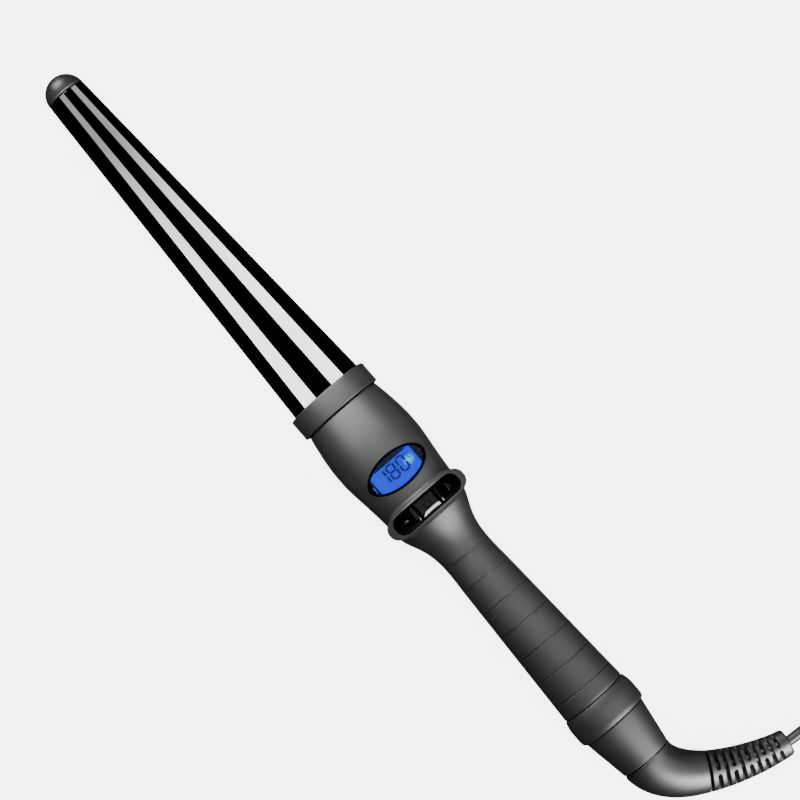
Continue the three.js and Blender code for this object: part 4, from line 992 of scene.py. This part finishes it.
def make_bezel():
    """A thin rim whose section is given as (share of its width, height over the skin in mm)."""
    outer = ellipse_points(DISPLAY_WIDTH, DISPLAY_LENGTH)
    inner = ellipse_points(DISPLAY_WIDTH - 2 * BEZEL_WIDTH, DISPLAY_LENGTH - 2 * BEZEL_WIDTH)
    section = [
        (-0.42, -1.7), (-0.42, -0.3), (-0.1, -0.08), (0.2, 0), (0.6, -0.05), (0.8, -0.25), (0.8, -1.7)]
    vertices = []
    for (ox, oy), (ix, iy) in zip(outer, inner):
        for share, depth in section:
            x = ox + (ix - ox) * share
            y = oy + (iy - oy) * share
            vertices.append((x, y, skin_height(x, y, depth * MM)))
    rim = mesh_object("display_rim", vertices, strips(len(outer), len(section), closed=True))
    place(rim, "handle", RIM, "gloss_black", "display_bezel")


def make_lens():
    oval = ellipse_points(DISPLAY_WIDTH - 2 * LENS_EDGE, DISPLAY_LENGTH - 2 * LENS_EDGE)
    lens = disc_grid(
        "display_window", oval,
        lambda x, y: skin_height(x, y, -0.15 * MM), lambda x, y: skin_height(x, y, -1.4 * MM),
        edge=0.15 * MM)
    place(lens, "handle", GLASS, "display_glass", "display_lens")


def display_box(name, x0, x1, y0, y1, z0, z1, bevel=0.05 * MM):
    """A box whose x is measured from the display's middle."""
    return box_mesh(name, (DISPLAY_X + x0, y0, z0), (DISPLAY_X + x1, y1, z1), bevel)


def make_lcd():
    """The lit panel, a dark frame over its ends and its tip side, and a thin lit line."""
    half, long = LCD_HALF_WIDTH, LCD_HALF_LENGTH
    lit_centre = WAND @ Vector((DISPLAY_X + LAMP[0], LAMP[1], LCD_TOP))
    panel = display_box("display_panel", -half, half, -long, long, LCD_TOP - 1.2 * MM, LCD_TOP)
    place(panel, "handle", lit_panel("lit_blue", lit_centre), "lcd_blue", "lcd_panel")
    low, high = LCD_TOP + 0.1 * MM, LCD_TOP + 0.5 * MM
    wide, far = FRAME_HALF_WIDTH, FRAME_HALF_LENGTH
    seam = 0.05 * MM
    frames = [
        display_box("low", -wide, wide, -far, LIT_LOW, low, high),
        display_box("high", -wide, wide, LIT_HIGH, far, low, high),
        display_box("tip", -wide, -FRAME_EDGE, LIT_LOW + seam, LIT_HIGH - seam, low, high)]
    place(joined("display_frame", frames), "handle", NAVY, "component_black")
    glow = display_box(
        "display_glow", -0.6 * MM, 2.2 * MM, -8.7 * MM, -8.45 * MM, high, high + 0.12 * MM, 0.04 * MM)
    place(glow, "handle", lit_panel("lit_line", WAND @ Vector((DISPLAY_X, -7 * MM, high))), "lcd_blue")


# Which of a digit's seven bars are dark: top, upper left, upper right, middle, lower left,
# lower right, bottom.
DIGIT_BARS = {"1": "0010010", "8": "1111111", "0": "1110111", "C": "1100101"}


def digit(text, x, y, tall, wide, thick, z):
    """Bars of one digit, its top towards the tip and reading towards +Y."""
    h, w, t = tall / 2, wide / 2, thick / 2
    gap = thick * 0.35
    across = {0: -h, 3: 0, 6: h}
    bars = []
    for place_, dark in enumerate(DIGIT_BARS[text]):
        if dark == "0":
            continue
        if place_ in across:
            x0, x1 = across[place_] - t, across[place_] + t
            y0, y1 = -w + gap, w - gap
        else:
            side = -w if place_ in (1, 4) else w
            y0, y1 = side - t, side + t
            x0, x1 = (-h + gap, -gap) if place_ < 3 else (gap, h - gap)
        bars.append(box_mesh("bar", (x + x0, y + y0, z), (x + x1, y + y1, z + FILM)))
    return bars


def make_digits():
    """The digits 1, 8 and 0, a small C and the degree dot before it."""
    z = LCD_TOP + 0.02 * MM
    bars = []
    for text, y in (("1", -4.2 * MM), ("8", -0.9 * MM), ("0", 2.5 * MM)):
        bars += digit(text, DIGITS_X, y, 4.7 * MM, 2.2 * MM, 0.6 * MM, z)
    bars += digit("C", DIGITS_X - 0.8 * MM, 5.3 * MM, 1.7 * MM, 0.9 * MM, 0.24 * MM, z)
    bars.append(box_mesh(
        "bar", (DIGITS_X - 1.9 * MM, 4.2 * MM, z), (DIGITS_X - 1.5 * MM, 4.6 * MM, z + FILM)))
    place(joined("display_digits", bars), "handle", INK, "lcd_blue")


make_bezel()
make_lens()
make_lcd()
make_digits()


# ---------------------------------------------------------------- buttons
def crown_height(y):
    return PAD_TOP - PAD_CROWN + math.sqrt(PAD_CROWN ** 2 - y * y)


def button_outline(side, steps=14):
    """One button seen from above. The lines between the buttons are slightly curved."""
    gap = KEY_GAP
    half = PILL_WIDTH / 2 - gap
    end = PILL_LENGTH / 2 - gap
    cut_at = end / 3
    bow = 0.35 * MM
    points = []
    if side == 0:
        for sign in (1, -1):
            for i in range(steps + 1):
                t = 1 - 2 * i / steps
                x = sign * half * t
                points.append((BUTTON_X + x, sign * (cut_at - gap - bow * (1 - t * t))))
        return points
    for i in range(steps + 1):
        t = 1 - 2 * i / steps
        points.append((BUTTON_X - half * t, side * (cut_at + gap - bow * (1 - t * t))))
    for i in range(2 * steps + 1):
        angle = math.pi * i / (2 * steps)
        points.append((BUTTON_X + half * math.cos(angle), side * (end - half + half * math.sin(angle))))
    return points


def sign_bars(side):
    """The relief sign on a button as (x0, x1, y0, y1), from the button's middle."""
    long, thin = 1.1 * MM, 0.2 * MM
    bars = [(-thin, thin, -long, long)]
    if side > 0:
        bars.append((-long, long, -thin, thin))
    if side == 0:
        bars = [(-1.5 * MM, -0.3 * MM, -thin, thin)]
    return bars


def power_ring():
    """Three quarters of a ring, open towards the tip."""
    radius, thick, tall = 1.15 * MM, 0.17 * MM, 0.22 * MM
    centres = []
    for i in range(33):
        angle = math.radians(-138 + 276 * i / 32)
        x = BUTTON_X + radius * math.cos(angle)
        y = radius * math.sin(angle)
        centres.append(Vector((x, y, crown_height(y))))
    section = [(-thick, -tall / 2), (thick, -tall / 2), (thick, tall / 2), (-thick, tall / 2)]
    return sweep("ring", centres, headings_of(centres), lambda i: section)


def key_top(x, y):
    """Height of a button's top: slightly swollen, and falling away along its tail side."""
    across = x - BUTTON_X
    swell = KEY_SWELL * (1 - (across / (PILL_WIDTH / 2)) ** 2)
    return crown_height(y) + swell - 0.5 * max(0, across - KEY_FALL_FROM)


def make_button(name, side):
    """One button: its cap with the stem under it, and the sign on it."""
    cap = disc_grid(
        name + "_key_cap", button_outline(side), key_top, lambda x, y: KEY_UNDERSIDE, edge=0.4 * MM)
    underside = local(name + "_button")[0].z
    middle = side * STEM_AT
    stem = box_mesh("stem", (BUTTON_X - STEM_HALF, middle - STEM_HALF, underside),
                    (BUTTON_X + STEM_HALF, middle + STEM_HALF, STEM_TOP))
    combine(cap, "UNION", [stem])
    smooth(cap.data, 30)
    place(cap, name + "_key", KEYS, "gloss_black", name + "_button")
    centre = side * SIGN_AT
    z = crown_height(centre)
    bars = []
    for x0, x1, y0, y1 in sign_bars(side):
        bars.append(box_mesh("bar", (BUTTON_X + x0, centre + y0, z - 0.25 * MM),
                             (BUTTON_X + x1, centre + y1, z + SIGN_HEIGHT), 0.06 * MM))
    if side == 0:
        bars.append(power_ring())
    place(joined(name + "_sign", bars), name + "_key", KEYS, "gloss_black")


for button_name, button_side in (("minus", -1), ("power", 0), ("plus", 1)):
    make_button(button_name, button_side)


# ---------------------------------------------------------------- strain relief
def slot_cut(along, angle, radius):
    """How deep a slot is at a place on the boot, from 0 to 1. Angle 0 is on top, 90 is inside the bend."""
    number = round(along / SLOT_PITCH)
    if number < 0 or number >= SLOTS:
        return 0
    half_width = 0.42 * MM if number == 0 else 0.6 * MM
    offset = abs(along - number * SLOT_PITCH)
    windows = [(-84, 75), (110, 220)] if number % 2 == 0 else [(-84, -13), (3, 75), (110, 220)]
    degrees = (math.degrees(angle) + 140) % 360 - 140
    deepest = 0
    for start, end in windows:
        from_end = math.radians(min(degrees - start, end - degrees)) * radius
        away = math.hypot(offset, max(0, half_width - from_end))
        deepest = max(deepest, smooth_step((half_width - away) / (0.16 * MM) + 0.5))
    return deepest


def make_relief():
    """The elbow with the blind bore that the swivel fills, and the boot with its slots."""
    elbow, boot = relief_curve(44, 240)
    sides = 112
    centres = [Vector((ELBOW_START + 5.3 * MM, 0, 0)), Vector((ELBOW_START, 0, 0))]
    radii = [RELIEF_BORE, RELIEF_BORE]
    headings = [Vector((1, 0, 0))] * 2
    cuts = [None, None]          # distance along the boot, where there are slots
    for i, point in enumerate(elbow[:-1]):
        part = i / (len(elbow) - 1)
        radii.append(ELBOW_R + (BOOT_START_R - ELBOW_R) * part ** 1.3 - (0.3 * MM if i == 0 else 0))
        centres.append(point)
        cuts.append(None)
    along = [0]
    for before, after in zip(boot, boot[1:]):
        along.append(along[-1] + (after - before).length)
    for point, distance in zip(boot, along):
        share = distance / along[-1]
        blunt = max(0, 0.6 * MM - (along[-1] - distance))
        radii.append(BOOT_START_R + (BOOT_END_R - BOOT_START_R) * share - blunt * 0.6)
        centres.append(point)
        cuts.append(distance)
    headings += headings_of(centres[2:])

    def section(i):
        ring = []
        for j in range(sides):
            angle = 2 * math.pi * j / sides
            radius = radii[i]
            if cuts[i] is not None:
                depth = min(SLOT_DEPTH, radius - SLOT_CORE_R)
                radius -= depth * slot_cut(cuts[i], angle, radius)
            ring.append((radius * math.sin(angle), radius * math.cos(angle)))
        return ring

    piece = sweep("boot", centres, headings, section, 40)
    place(piece, "swivel", RELIEF, "relief_pvc", "strain_relief")


make_relief()


# ---------------------------------------------------------------- tie, plug and pins
def make_tie():
    """A flat band around the turns of the coil, with rounded corners."""
    low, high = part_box("cord_coil")
    centre = (low + high) / 2
    outer = (high.x - low.x) / 2
    inner = outer - COIL_BAND
    turn = Matrix.Rotation(math.radians(TIE_ANGLE), 4, "Z")
    y0, y1 = -outer - GAP, -inner + 0.6 * MM
    z0, z1 = low.z - GAP, high.z + GAP
    loop = rounded([
        ((y0 + y1) / 2, z0), (y1, z0), (y1, z1), (y0, z1), (y0, z0), ((y0 + y1) / 2 - 1e-5, z0)],
        [TIE_CORNER] * 4, 6)
    vertices = []
    middle = Vector(((y0 + y1) / 2, (z0 + z1) / 2))
    for y, z in loop:
        out = Vector((y, z)) - middle
        grow = TIE_THICKNESS * Vector((max(-1, min(1, out.x / (y1 - middle.x))),
                                       max(-1, min(1, out.y / (z1 - middle.y)))))
        for side, share in ((-1, 0), (-1, 1), (1, 1), (1, 0)):
            vertices.append((side * TIE_WIDTH / 2, y + grow.x * share, z + grow.y * share))
    piece = mesh_object("tie", vertices, strips(len(loop), 4, closed=True))
    where = Matrix.Translation(Vector((centre.x, centre.y, 0))) @ turn
    place(piece, "swivel", TIE, "tie_plastic", "cord_tie", matrix=where)
    return piece


def plug_matrix():
    low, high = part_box("cord_coil")
    centre = (low + high) / 2
    base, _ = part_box("plug_body")
    place_ = Vector((centre.x + PLUG_FROM_COIL[0], centre.y + PLUG_FROM_COIL[1], base.z))
    return Matrix.Translation(place_) @ Matrix.Rotation(math.radians(PLUG_HEADING), 4, "Z")


def make_plug():
    """A moulded two-pin plug: a slim neck with grip rings that opens into a rounded body."""
    stations = 90
    rows = []
    total = PLUG_NOSE + PLUG_LENGTH
    for i in range(stations + 1):
        x = total * i / stations
        grow = smooth_step((x - PLUG_NOSE * 0.7) / (14 * MM))
        half_width = 4.0 * MM + (PLUG_WIDTH / 2 - 4.0 * MM) * grow
        half_height = 4.4 * MM + (PLUG_HEIGHT / 2 - 4.4 * MM) * smooth_step(x / (16 * MM))
        if x < PLUG_NOSE:
            groove = 0.35 * MM * (1 + math.cos(2 * math.pi * x / (2.5 * MM))) / 2
            half_height -= groove
            half_width -= groove
        waist = math.exp(-((x - 31 * MM) / (6 * MM)) ** 2)
        half_width -= 1.3 * MM * waist
        edge = 1.2 * MM
        round_off = edge - math.sqrt(max(0, edge ** 2 - max(0, x - total + edge) ** 2))
        rows.append((x, half_width - round_off, half_height - round_off))
    ring = 64
    squareness = 0.45            # 1 gives an ellipse, 0 a rectangle
    vertices = []
    for x, half_width, half_height in rows:
        for j in range(ring):
            angle = 2 * math.pi * j / ring
            c, s = math.cos(angle), math.sin(angle)
            y = half_width * math.copysign(abs(c) ** squareness, c)
            z = half_height * math.copysign(abs(s) ** squareness, s)
            vertices.append((x, y, PLUG_HEIGHT / 2 + z))
    faces = strips(len(rows), ring) + end_caps(len(rows), ring)
    piece = mesh_object("plug", vertices, faces, 50)
    place(piece, "swivel", PLUG, "plug_pvc", "plug_body", matrix=plug_matrix())
    return piece


def make_pin(name, side):
    """A round pin with a rounded tip."""
    start = PLUG_NOSE + PLUG_LENGTH + GAP
    end = start + PIN_LENGTH
    outline = rounded([(start, 0.001 * MM), (start, PIN_R), (end, PIN_R), (end, 0.001 * MM)],
                      [0.1 * MM, 1.4 * MM], 8)
    outline = [(outline[0][0], 0)] + outline[1:-1] + [(outline[-1][0], 0)]
    shift = Matrix.Translation(Vector((0, side * PIN_FROM_MIDDLE, PLUG_HEIGHT / 2)))
    piece = lathe(name, outline, 48)
    place(piece, "swivel", NICKEL, "pin_nickel", "plug_" + name, matrix=plug_matrix() @ shift)
    return piece


tie_piece = make_tie()
plug_piece = make_plug()
pin_pieces = [make_pin("pin_left", 1), make_pin("pin_right", -1)]

# ---------------------------------------------------------------- pieces kept as they are in the frame
KEPT = [
    (ALUMINIUM, ["heat_spreader_upper", "heat_spreader_lower"]),
    (CERAMIC, ["ptc_heater"]),
    (STEEL, ["thermal_fuse", "shell_screw_front", "shell_screw_rear", "swivel_retainer"]),
    (BEAD, ["thermistor", "board_fuse"]),
    (WASHER, ["insulating_washer"]),
    (HEATPROOF, ["barrel_mount", "contact_carrier", "swivel_hub"]),
    (WHITE, ["lcd_backlight", "minus_plunger", "power_plunger", "plus_plunger"]),
    (GREY, ["minus_switch", "power_switch", "plus_switch"]),
    (BOARD, ["control_board", "power_board"]),
    (CHIP, ["controller_chip", "triac", "swivel_neck"]),
    (YELLOW, ["mains_capacitor"]),
    (BLUE, ["smoothing_capacitor"]),
    (RED, ["heater_lead_live"]),
    (BLACK, ["heater_lead_neutral"]),
    (PALE, ["sensor_lead"]),
    (BRASS, ["ring_brush", "centre_brush", "contact_ring", "centre_contact"]),
]

for kept_material, kept_names in KEPT:
    for kept_name in kept_names:
        materials = frame["nodes"][kept_name].data.materials
        materials.clear()
        materials.append(kept_material)

# ---------------------------------------------------------------- floor and light
def make_floor():
    """A plain pale table top that glows evenly and sends no light to the wand."""
    nodes = Nodes("pale_table")
    nodes.color(nodes.ramp(nodes.noise(3), rgb(0.86), rgb(0.9)))
    nodes.link(nodes.ramp(nodes.noise(3), rgb(0.97), rgb(1.0)), nodes.shader.inputs["Emission Color"])
    nodes.set(Roughness=0.9, Emission_Strength=5.5)
    floor = box_mesh("floor", (-3, -3, -0.02), (3, 3, -0.0002))
    floor.data.materials.append(nodes.material)
    floor.visible_glossy = False
    floor.visible_diffuse = False


def only_for(light, *pieces, state="INCLUDE"):
    """Lets a light reach only some pieces, or all but them, as a flag beside a lamp does."""
    group = bpy.data.collections.new(light.name + "_reach")
    for piece in pieces:
        group.objects.link(piece)
    light.light_linking.receiver_collection = group
    for member in group.collection_objects:
        member.light_linking.link_state = state


def strip_material(name):
    """Bright by the collar and dimmer towards the tip."""
    material = bpy.data.materials.new(name)
    material.use_nodes = True
    tree = material.node_tree
    tree.nodes.clear()
    coords = tree.nodes.new("ShaderNodeTexCoord")
    split = tree.nodes.new("ShaderNodeSeparateXYZ")
    curve = tree.nodes.new("ShaderNodeMapRange")
    curve.interpolation_type = "SMOOTHSTEP"
    curve.inputs["From Min"].default_value = -0.35
    curve.inputs["From Max"].default_value = -0.13
    curve.inputs["To Min"].default_value = 7
    curve.inputs["To Max"].default_value = 50
    emission = tree.nodes.new("ShaderNodeEmission")
    output = tree.nodes.new("ShaderNodeOutputMaterial")
    tree.links.new(coords.outputs["Object"], split.inputs["Vector"])
    tree.links.new(split.outputs["X"], curve.inputs["Value"])
    tree.links.new(curve.outputs["Result"], emission.inputs["Strength"])
    tree.links.new(emission.outputs["Emission"], output.inputs["Surface"])
    return material


def strip_light(name, edges):
    """A long light sheet beside the barrel. Edges are (x, from, to), in degrees off the zenith."""
    distance = 0.6
    across = 8
    vertices = []
    for x, start, end in edges:
        for j in range(across + 1):
            angle = math.radians(start + (end - start) * j / across)
            vertices.append((x, distance * math.sin(angle), 0.018 + distance * math.cos(angle)))
    sheet = mesh_object(name, vertices, strips(len(edges), across + 1, round_=False))
    sheet.data.materials.append(strip_material(name))
    sheet.visible_camera = False
    sheet.visible_diffuse = False
    sheet.visible_transmission = False
    sheet.visible_shadow = False
    only_for(sheet, bpy.data.objects["barrel"])


def softbox(name, centre, toward_x, toward_y, distance, size, radiance, diffuse=False, glossy=True):
    """An area light seen from a centre: degrees off the zenith towards +X and towards +Y."""
    data = bpy.data.lights.new(name, "AREA")
    data.shape = "RECTANGLE"
    data.size, data.size_y = size
    data.energy = radiance * math.pi * size[0] * size[1]
    light = bpy.data.objects.new(name, data)
    back = Vector((math.tan(math.radians(toward_x)), math.tan(math.radians(toward_y)), 1)).normalized()
    side = back.cross(Vector((1, 0, 0))).normalized()
    turn = Matrix((side.cross(back), side, back)).transposed()
    light.matrix_world = Matrix.Translation(Vector(centre) + back * distance) @ turn.to_4x4()
    light.visible_camera = False
    light.visible_diffuse = diffuse
    light.visible_glossy = glossy
    bpy.context.scene.collection.objects.link(light)
    return light


def make_lights():
    """Long sheets that draw the barrel's streaks, and soft boxes that each reach chosen pieces."""
    world = bpy.data.worlds.new("studio")
    world.use_nodes = True
    world.node_tree.nodes["Background"].inputs["Color"].default_value = (0.012, 0.012, 0.0125, 1)
    bpy.context.scene.world = world
    strip_light("strip_left", [
        (-0.42, -10, -38), (-0.37, -15, -45), (-0.33, -19, -51), (-0.267, -24, -60), (-0.215, -27.5, -66.5),
        (-0.113, -34, -78.5), (-0.065, -36, -83), (0.04, -40, -92)])
    strip_light("strip_right", [
        (-0.42, 43, 74), (-0.37, 38, 73), (-0.33, 35, 72), (-0.267, 31, 71), (-0.215, 28.5, 70),
        (-0.113, 23, 69), (-0.065, 22, 68), (0.04, 19, 67)])
    handle = (0.06, -0.01, 0.02)
    head = (-0.014, -0.01, 0.03)
    tip = (-0.15, -0.01, 0.02)
    tail = (0.14, 0.0, 0.015)
    barrel = bpy.data.objects["barrel"]
    keys = [bpy.data.objects[button + "_key_cap"] for button in ("minus", "power", "plus")]
    glossy = [barrel, *keys]
    glossy += [bpy.data.objects["display_" + part] for part in ("rim", "window", "panel", "frame", "digits")]
    only_for(softbox("far_box", head, -45, 0, 1.0, (0.5, 0.4), 12), barrel)
    only_for(softbox("near_box", head, 50, 0, 1.0, (0.5, 0.4), 12), barrel)
    sky = softbox("sky", (0, 0, 0), 0, 0, 1.4, (2.4, 2.4), 1.3, diffuse=True, glossy=False)
    only_for(sky, barrel, state="EXCLUDE")
    for name, centre, toward_x, toward_y, distance, size, radiance in [
            ("front_box", head, -34, 0, 0.15, (0.07, 0.28), 27),
            ("rear_box", handle, 58, 30, 0.9, (0.55, 1.0), 26),
            ("side_box", handle, 0, 45, 0.9, (0.5, 0.5), 2.4),
            ("tip_box", tip, -68, 0, 0.5, (0.3, 0.3), 14)]:
        box = softbox(name, centre, toward_x, toward_y, distance, size, radiance)
        only_for(box, *glossy, state="EXCLUDE")
    only_for(softbox("key_box", handle, 62, 14, 0.9, (0.9, 0.35), 24), *keys)
    only_for(softbox("key_sky", handle, 10, 0, 0.9, (0.9, 0.9), 0.4), *keys)
    only_for(softbox("relief_box", tail, 62, 15, 0.6, (0.6, 0.6), 18), bpy.data.objects["boot"])


make_floor()
make_lights()
